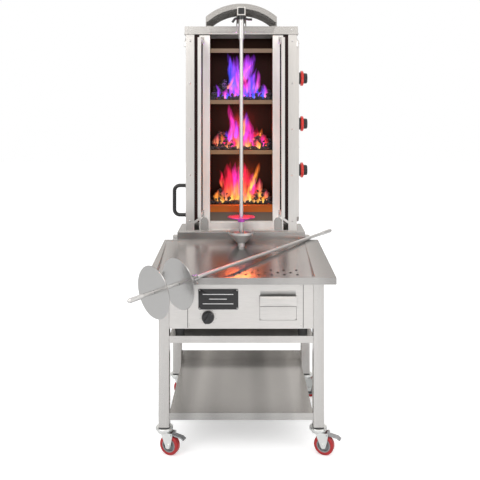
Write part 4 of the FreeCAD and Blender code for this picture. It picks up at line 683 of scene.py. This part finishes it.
# Motor knob: a ring of plain ticks on the panel
tickRing = {"count": 9, "radius": 0.0305, "first": -45.0, "step": 33.75,
            "profile": ((0.0011, 0.0), (0.0010, 0.0004), (0.0, 0.0005))}
knobX, _, knobZ = jointNamed("motor_knob_turn")["pos_m"]
reach = tickRing["radius"]
ticks = []
for number in range(tickRing["count"]):
    angle = math.radians(tickRing["first"] + number * tickRing["step"])
    spot = (knobX + reach * math.cos(angle), face, knobZ + reach * math.sin(angle))
    ticks.append(lathe(tickRing["profile"], spot, (0, -1, 0), 12))
addGrids("knob_ticks", ticks, plateBlack, "stand")
print("stage: plate and dial done")


# Black end plug of the square arm

plugShape = {"half": 0.0132, "rise": 0.0175, "corner": 0.0032, "proud": 0.0020, "thick": 0.0022}
armLow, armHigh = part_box("top_arm")
plugX, plugZ, half = (armLow[0] + armHigh[0]) / 2, armLow[2] + plugShape["rise"], plugShape["half"]
plate("arm_end_plug", (plugX - half, plugX + half), (plugZ - half, plugZ + half), plugShape["corner"],
      armLow[1] - plugShape["proud"], plugShape["thick"], blackPlastic, "arm")


# Small sheet and wire forms of the tower

def wire(name, path, radius, finish, body, square=(0.0, 1.0, 0.0), steps=12):
    # a round wire: ring = p + r * (cos(a) * n + sin(a) * square), with n square to the path and to square
    path, square = np.asarray(path, dtype=float), np.asarray(square)
    ahead = np.gradient(path, axis=0)
    ahead /= np.linalg.norm(ahead, axis=1)[:, None]
    side = np.cross(square, ahead)
    angle = np.linspace(0, 2 * math.pi, steps, endpoint=False)[:, None, None]
    rings = path[None] + radius * (np.cos(angle) * side[None] + np.sin(angle) * square)
    addGrids(name, rings[None], finish, body)


footShape = {"outer": 0.178, "inner": 0.143, "low": 0.7595, "shoulder": 0.800, "high": 0.8165,
             "lean": 0.003, "proud": 0.0035, "thick": 0.0025}
barShape = {"outer": 0.211, "inner": 0.180, "low": 0.783, "high": 0.8175, "deep": 0.0125, "proud": 0.0028,
            "thick": 0.0022}
hookShape = {"out": 0.176, "high": 1.600, "low": 1.577, "bend": 0.007, "wire": 0.0022, "forward": 0.030}
# black seal along the rear edge of each wing's glass
sealShape = {"out": 0.1718, "in": 0.1667, "rear": 0.028, "low": 0.852, "high": 1.569}
louvre = {"high": 1.609, "low": 1.561, "out": 0.009, "start": 0.0015, "long": 0.020}


def footPlate(side, word):
    outer, inner = footShape["outer"], footShape["inner"]
    outline = [(outer, footShape["low"]), (inner, footShape["low"]), (inner, footShape["shoulder"]),
               (inner + 0.008, footShape["high"] - 0.003), (outer - 0.013, footShape["high"]),
               (outer, footShape["high"] - 0.012)]
    outline = [(middleX + side * x, z) for x, z in outline][::-side]
    slab("foot_plate_" + word, outline, linerFront - footShape["proud"], footShape["thick"], bracketSteel,
         "tower", footShape["lean"])


def diagonalBar(side, word):
    outer, inner, low, high, deep = (barShape[key] for key in ("outer", "inner", "low", "high", "deep"))
    outline = [(outer, low), (inner, high - deep), (inner, high), (outer, low + deep)]
    outline = [(middleX + side * x, z) for x, z in outline][::side]
    slab("diagonal_bar_" + word, outline, linerFront - barShape["proud"], barShape["thick"], towerSteel,
         "tower")


def hingeClip(side, word):
    # a wire that comes down, turns through half a circle and ends after a short rise
    out, low, bend = hookShape["out"], hookShape["low"], hookShape["bend"]
    turn = np.linspace(0, math.pi, 13)
    loop = np.stack([out - bend + bend * np.cos(turn), low - bend * np.sin(turn)], axis=-1)
    start, end = [(out, hookShape["high"]), (out, low + 0.002)], [(out - 2 * bend, low + 0.012)]
    points = np.concatenate([start, loop, end])
    path = [(middleX + side * x, linerFront - hookShape["forward"], z) for x, z in points]
    wire("hinge_clip_" + word, path, hookShape["wire"], turnedSteel, "tower")


def wingSeal(side, word):
    edges = sorted((middleX + side * sealShape["out"], middleX + side * sealShape["in"]))
    plate("wing_seal_" + word, edges, (sealShape["low"], sealShape["high"]), 0.0008,
          linerFront - sealShape["rear"] - 0.0020, 0.0019, blackRubber, "wing_" + word)


def sideLouvre(side, word):
    # out = depth * sin(t * pi / 2) ^ 1.5 down its height, closed at both ends by a sine along Y
    t = np.linspace(0.0, 1.0, 14)[:, None]
    v = np.linspace(0.0, 1.0, 11)[None, :]
    out = louvre["out"] * np.sin(t * math.pi / 2) ** 1.5 * np.sin(v * math.pi) ** 0.3
    wall = shellHigh[0] if side > 0 else shellLow[0]
    y = towerFront + louvre["start"] + v * louvre["long"] + 0 * t
    z = louvre["high"] - t * (louvre["high"] - louvre["low"]) + 0 * v
    grid = np.stack([wall + side * (out + 0.0001), y, z], axis=-1)
    grid = grid if side > 0 else grid[:, ::-1]
    addGrids("louvre_" + word, grid[None], towerSteel, "tower", wrapU=False)


bothSides = ((-1, "left"), (1, "right"))
for side, word in bothSides:
    for form in (footPlate, diagonalBar, hingeClip):
        form(side, word)
for form in (wingSeal, sideLouvre):
    for side, word in bothSides:
        form(side, word)
# the arch's base plate on the cap's front, in the arch's darker steel: its darkness is painted shade of the
# arch
skirt = {"topHalf": 0.148, "lowHalf": 0.139, "low": 1.6215, "high": 1.6478, "proud": 0.0016,
         "thick": 0.0014}
outline = [(middleX - skirt["lowHalf"], skirt["low"]), (middleX + skirt["lowHalf"], skirt["low"]),
           (middleX + skirt["topHalf"], skirt["high"]), (middleX - skirt["topHalf"], skirt["high"])]
slab("arch_shade_skirt", outline, capLow[1] - skirt["proud"], skirt["thick"], archSteel, "tower")


# Seams beside the front panel

for word, x in (("left", panelLow[0]), ("right", panelHigh[0])):
    plate("panel_seam_" + word, (x - 0.0010, x + 0.0010), (panelLow[2] + 0.001, panelHigh[2] - 0.001),
          0.0004, panelLow[1] - 0.0003, 0.0005, blackRubber, "stand")


# Drawer: a folded lip over its front; above it a flat plate with painted shade, where the fingers reach
# into a hollow, and under the lip a black strip of painted shadow

lipShape = {"low": 0.556, "thick": 0.0009, "hollow": 0.612, "inset": 0.0015, "line": 0.0016}
drawerLow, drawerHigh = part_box("drawer_front")
drawerXs, inset = (drawerLow[0], drawerHigh[0]), lipShape["inset"]
plate("drawer_lip", drawerXs, (lipShape["low"], drawerHigh[2] - 0.001), 0.0008,
      drawerLow[1] - lipShape["thick"], lipShape["thick"], panelSteel, "drawer")
# a flat plate whose painted shade stands in for the hollow above the lip
plate("drawer_shade_plate", (drawerXs[0] + inset, drawerXs[1] - inset), (drawerHigh[2], lipShape["hollow"]),
      0.0008, panelLow[1] - 0.0004, 0.0005, drawerShadeSteel, "stand")
# a black strip along the lip's lower edge: painted shadow under the lip
plate("drawer_lip_shadow_line", drawerXs, (lipShape["low"] - lipShape["line"], lipShape["low"]), 0.0004,
      drawerLow[1] - 0.0004, 0.0005, blackRubber, "drawer")


# Drip tray: black rims in its drain holes, at the tray's own height; their black is painted shade for the
# dark inside the holes. A row has its place behind the legs' front, its first hole beside the middle and
# its count

drain = {"pitch": 0.049, "radius": 0.0046, "bore": 0.0030, "near": 0.0045, "square": (0, -0.19, 0.98),
         "rows": ((0.057, -0.032, 6), (0.074, -0.008, 5), (0.095, 0.016, 5))}
rimProfile = ((drain["bore"], -0.003), (drain["bore"], 0.0), (drain["radius"], 0.0003),
              (drain["radius"], -0.0003))
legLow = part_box("stand_legs")[0]
trayMesh = nodes["worktop_tray"].data
trayPoints = np.empty(len(trayMesh.vertices) * 3)
trayMesh.vertices.foreach_get("co", trayPoints)
trayPoints = trayPoints.reshape(-1, 3)
rims = []
for deep, start, count in drain["rows"]:
    for number in range(count):
        x, y = middleX + start + number * drain["pitch"], legLow[1] + deep
        near = np.hypot(trayPoints[:, 0] - x, trayPoints[:, 1] - y) < drain["near"]
        if near.any():
            rims.append(lathe(rimProfile, (x, y, trayPoints[near, 2].max()), drain["square"], 20))
if rims:
    addGrids("drain_shade_rims", rims, blackRubber, "stand")
print("stage: small forms made,", len(rims), "drain rims")


# Stage, light and camera

floorShape = {"half": 14.0, "count": 15, "lift": 0.34}


def addFloor():
    white, tree, shader = newMaterial("floorWhite")
    setShader(shader, Roughness=0.9)
    noise = grainNodes(tree, (1.0, 1.0, 1.0), 3.0)
    tone = ramp(tree, noise.outputs["Fac"], [(0.0, (0.94, 0.94, 0.94)), (1.0, (0.96, 0.96, 0.96))])
    tree.links.new(tone.outputs["Color"], shader.inputs["Base Color"])
    # for the camera alone the floor is lifted to white, and the shadow under the object stays
    path = tree.nodes.new("ShaderNodeLightPath")
    lift = tree.nodes.new("ShaderNodeMath")
    lift.operation = "MULTIPLY"
    lift.inputs[1].default_value = floorShape["lift"]
    tree.links.new(path.outputs["Is Camera Ray"], lift.inputs[0])
    tree.links.new(lift.outputs["Value"], shader.inputs["Emission Strength"])
    shader.inputs["Emission Color"].default_value = (1.0, 1.0, 1.0, 1.0)
    count = floorShape["count"]
    u = np.linspace(-floorShape["half"], floorShape["half"], count)
    gx, gy = np.meshgrid(u, u, indexing="ij")
    mesh = bpy.data.meshes.new("floor")
    points = np.stack([gx, gy, np.zeros_like(gx)], axis=-1)
    mesh.from_pydata(points.reshape(-1, 3).tolist(), [], faceRows(count, count, False).tolist())
    mesh.materials.append(white)
    floor = bpy.data.objects.new("floor", mesh)
    bpy.context.scene.collection.objects.link(floor)


def addLight(name, place, target, size, power):
    data = bpy.data.lights.new(name, "AREA")
    data.shape = "RECTANGLE"
    data.size, data.size_y = size
    data.energy = power
    lamp = bpy.data.objects.new(name, data)
    lamp.location = place
    direction = np.array(target) - np.array(place)
    yaw = math.atan2(direction[1], direction[0]) - math.pi / 2
    pitch = math.atan2(direction[2], math.hypot(direction[0], direction[1])) + math.pi / 2
    lamp.rotation_euler = (pitch, 0.0, yaw)
    bpy.context.scene.collection.objects.link(lamp)


def addWorld(lightStrength, mirrorStrength):
    # the surroundings show white; for reflections they grade from pale above to grey below
    world = bpy.data.worlds.new("studio")
    bpy.context.scene.world = world
    world.use_nodes = True
    tree = world.node_tree
    tree.nodes.clear()
    output = tree.nodes.new("ShaderNodeOutputWorld")
    seen = tree.nodes.new("ShaderNodeBackground")
    seen.inputs["Color"].default_value = (1.0, 1.0, 1.0, 1.0)
    mirrored = tree.nodes.new("ShaderNodeBackground")
    lit = tree.nodes.new("ShaderNodeBackground")
    lit.inputs["Color"].default_value = (1.0, 1.0, 1.0, 1.0)
    lit.inputs["Strength"].default_value = lightStrength
    coords = tree.nodes.new("ShaderNodeTexCoord")
    split = tree.nodes.new("ShaderNodeSeparateXYZ")
    tree.links.new(coords.outputs["Generated"], split.inputs["Vector"])
    pieces = {}
    for axis in ("X", "Y", "Z"):
        pieces[axis] = tree.nodes.new("ShaderNodeMapRange")
        pieces[axis].inputs["From Min"].default_value = -1.0
        tree.links.new(split.outputs[axis], pieces[axis].inputs["Value"])
    high = ramp(tree, pieces["Z"].outputs["Result"], [(0.0, grey(0.70)), (0.47, grey(0.60)),
                                                      (0.56, grey(0.90)), (0.75, grey(1.0))])
    deep = ramp(tree, pieces["Y"].outputs["Result"], [(0.30, grey(1.0)), (0.70, grey(0.70))])
    sides = ramp(tree, pieces["X"].outputs["Result"], [(0.04, grey(0.30)), (0.22, grey(1.0)),
                                                       (0.78, grey(1.0)), (0.96, grey(0.30))])
    level = multiplied(tree, deep.outputs["Color"], sides.outputs["Color"])
    tree.links.new(multiplied(tree, high.outputs["Color"], level), mirrored.inputs["Color"])
    mirrored.inputs["Strength"].default_value = mirrorStrength
    path = tree.nodes.new("ShaderNodeLightPath")
    first = tree.nodes.new("ShaderNodeMixShader")
    second = tree.nodes.new("ShaderNodeMixShader")
    tree.links.new(path.outputs["Is Glossy Ray"], first.inputs["Fac"])
    tree.links.new(lit.outputs["Background"], first.inputs[1])
    tree.links.new(mirrored.outputs["Background"], first.inputs[2])
    tree.links.new(path.outputs["Is Camera Ray"], second.inputs["Fac"])
    tree.links.new(first.outputs["Shader"], second.inputs[1])
    tree.links.new(seen.outputs["Background"], second.inputs[2])
    tree.links.new(second.outputs["Shader"], output.inputs["Surface"])


cameraShape = {"distance": 2.300, "height": 1.262, "focalPixels": 621.0, "horizonPixel": 115.0,
               "middlePixel": 241.3, "framePixels": 480.0}


def addCamera():
    # looks straight along +Y; the frame is shifted so that the eye's level falls on its row of the picture
    data = bpy.data.cameras.new("camera")
    data.sensor_width = 36.0
    data.lens = data.sensor_width * cameraShape["focalPixels"] / cameraShape["framePixels"]
    half = cameraShape["framePixels"] / 2
    data.shift_x = (half - cameraShape["middlePixel"]) / cameraShape["framePixels"]
    data.shift_y = (cameraShape["horizonPixel"] - half) / cameraShape["framePixels"]
    camera = bpy.data.objects.new("camera", data)
    camera.location = (middleX, legLow[1] - cameraShape["distance"], cameraShape["height"])
    camera.rotation_euler = (math.pi / 2, 0.0, 0.0)
    bpy.context.scene.collection.objects.link(camera)
    bpy.context.scene.camera = camera


addFloor()
addWorld(0.78, 1.2)
addLight("keyLight", (-2.2, -3.0, 3.2), (0.0, 0.0, 0.9), (3.4, 3.0), 78.0)
addLight("fillLight", (2.6, -2.4, 2.0), (0.0, 0.0, 0.9), (2.8, 3.0), 40.0)
addLight("backLight", (0.0, 2.4, 4.2), (0.0, 0.0, 1.0), (3.0, 2.0), 22.0)
# a small lamp in each fire, from the lowest to the highest
fireLamps = ((3.2, (1.0, 0.20, 0.04)), (2.2, (1.0, 0.12, 0.12)), (1.6, (0.55, 0.18, 1.0)))
for number, (power, colour) in enumerate(fireLamps):
    glow = bpy.data.lights.new("fireGlow%d" % (number + 1), "POINT")
    glow.energy = power
    glow.color = colour
    glow.shadow_soft_size = 0.04
    lamp = bpy.data.objects.new(glow.name, glow)
    lamp.location = (coalMiddle, coalLow[1] + 0.004, floors[number] + 0.11)
    bpy.context.scene.collection.objects.link(lamp)
addCamera()
bpy.context.scene.view_settings.view_transform = "Standard"
print("stage: light and camera set")
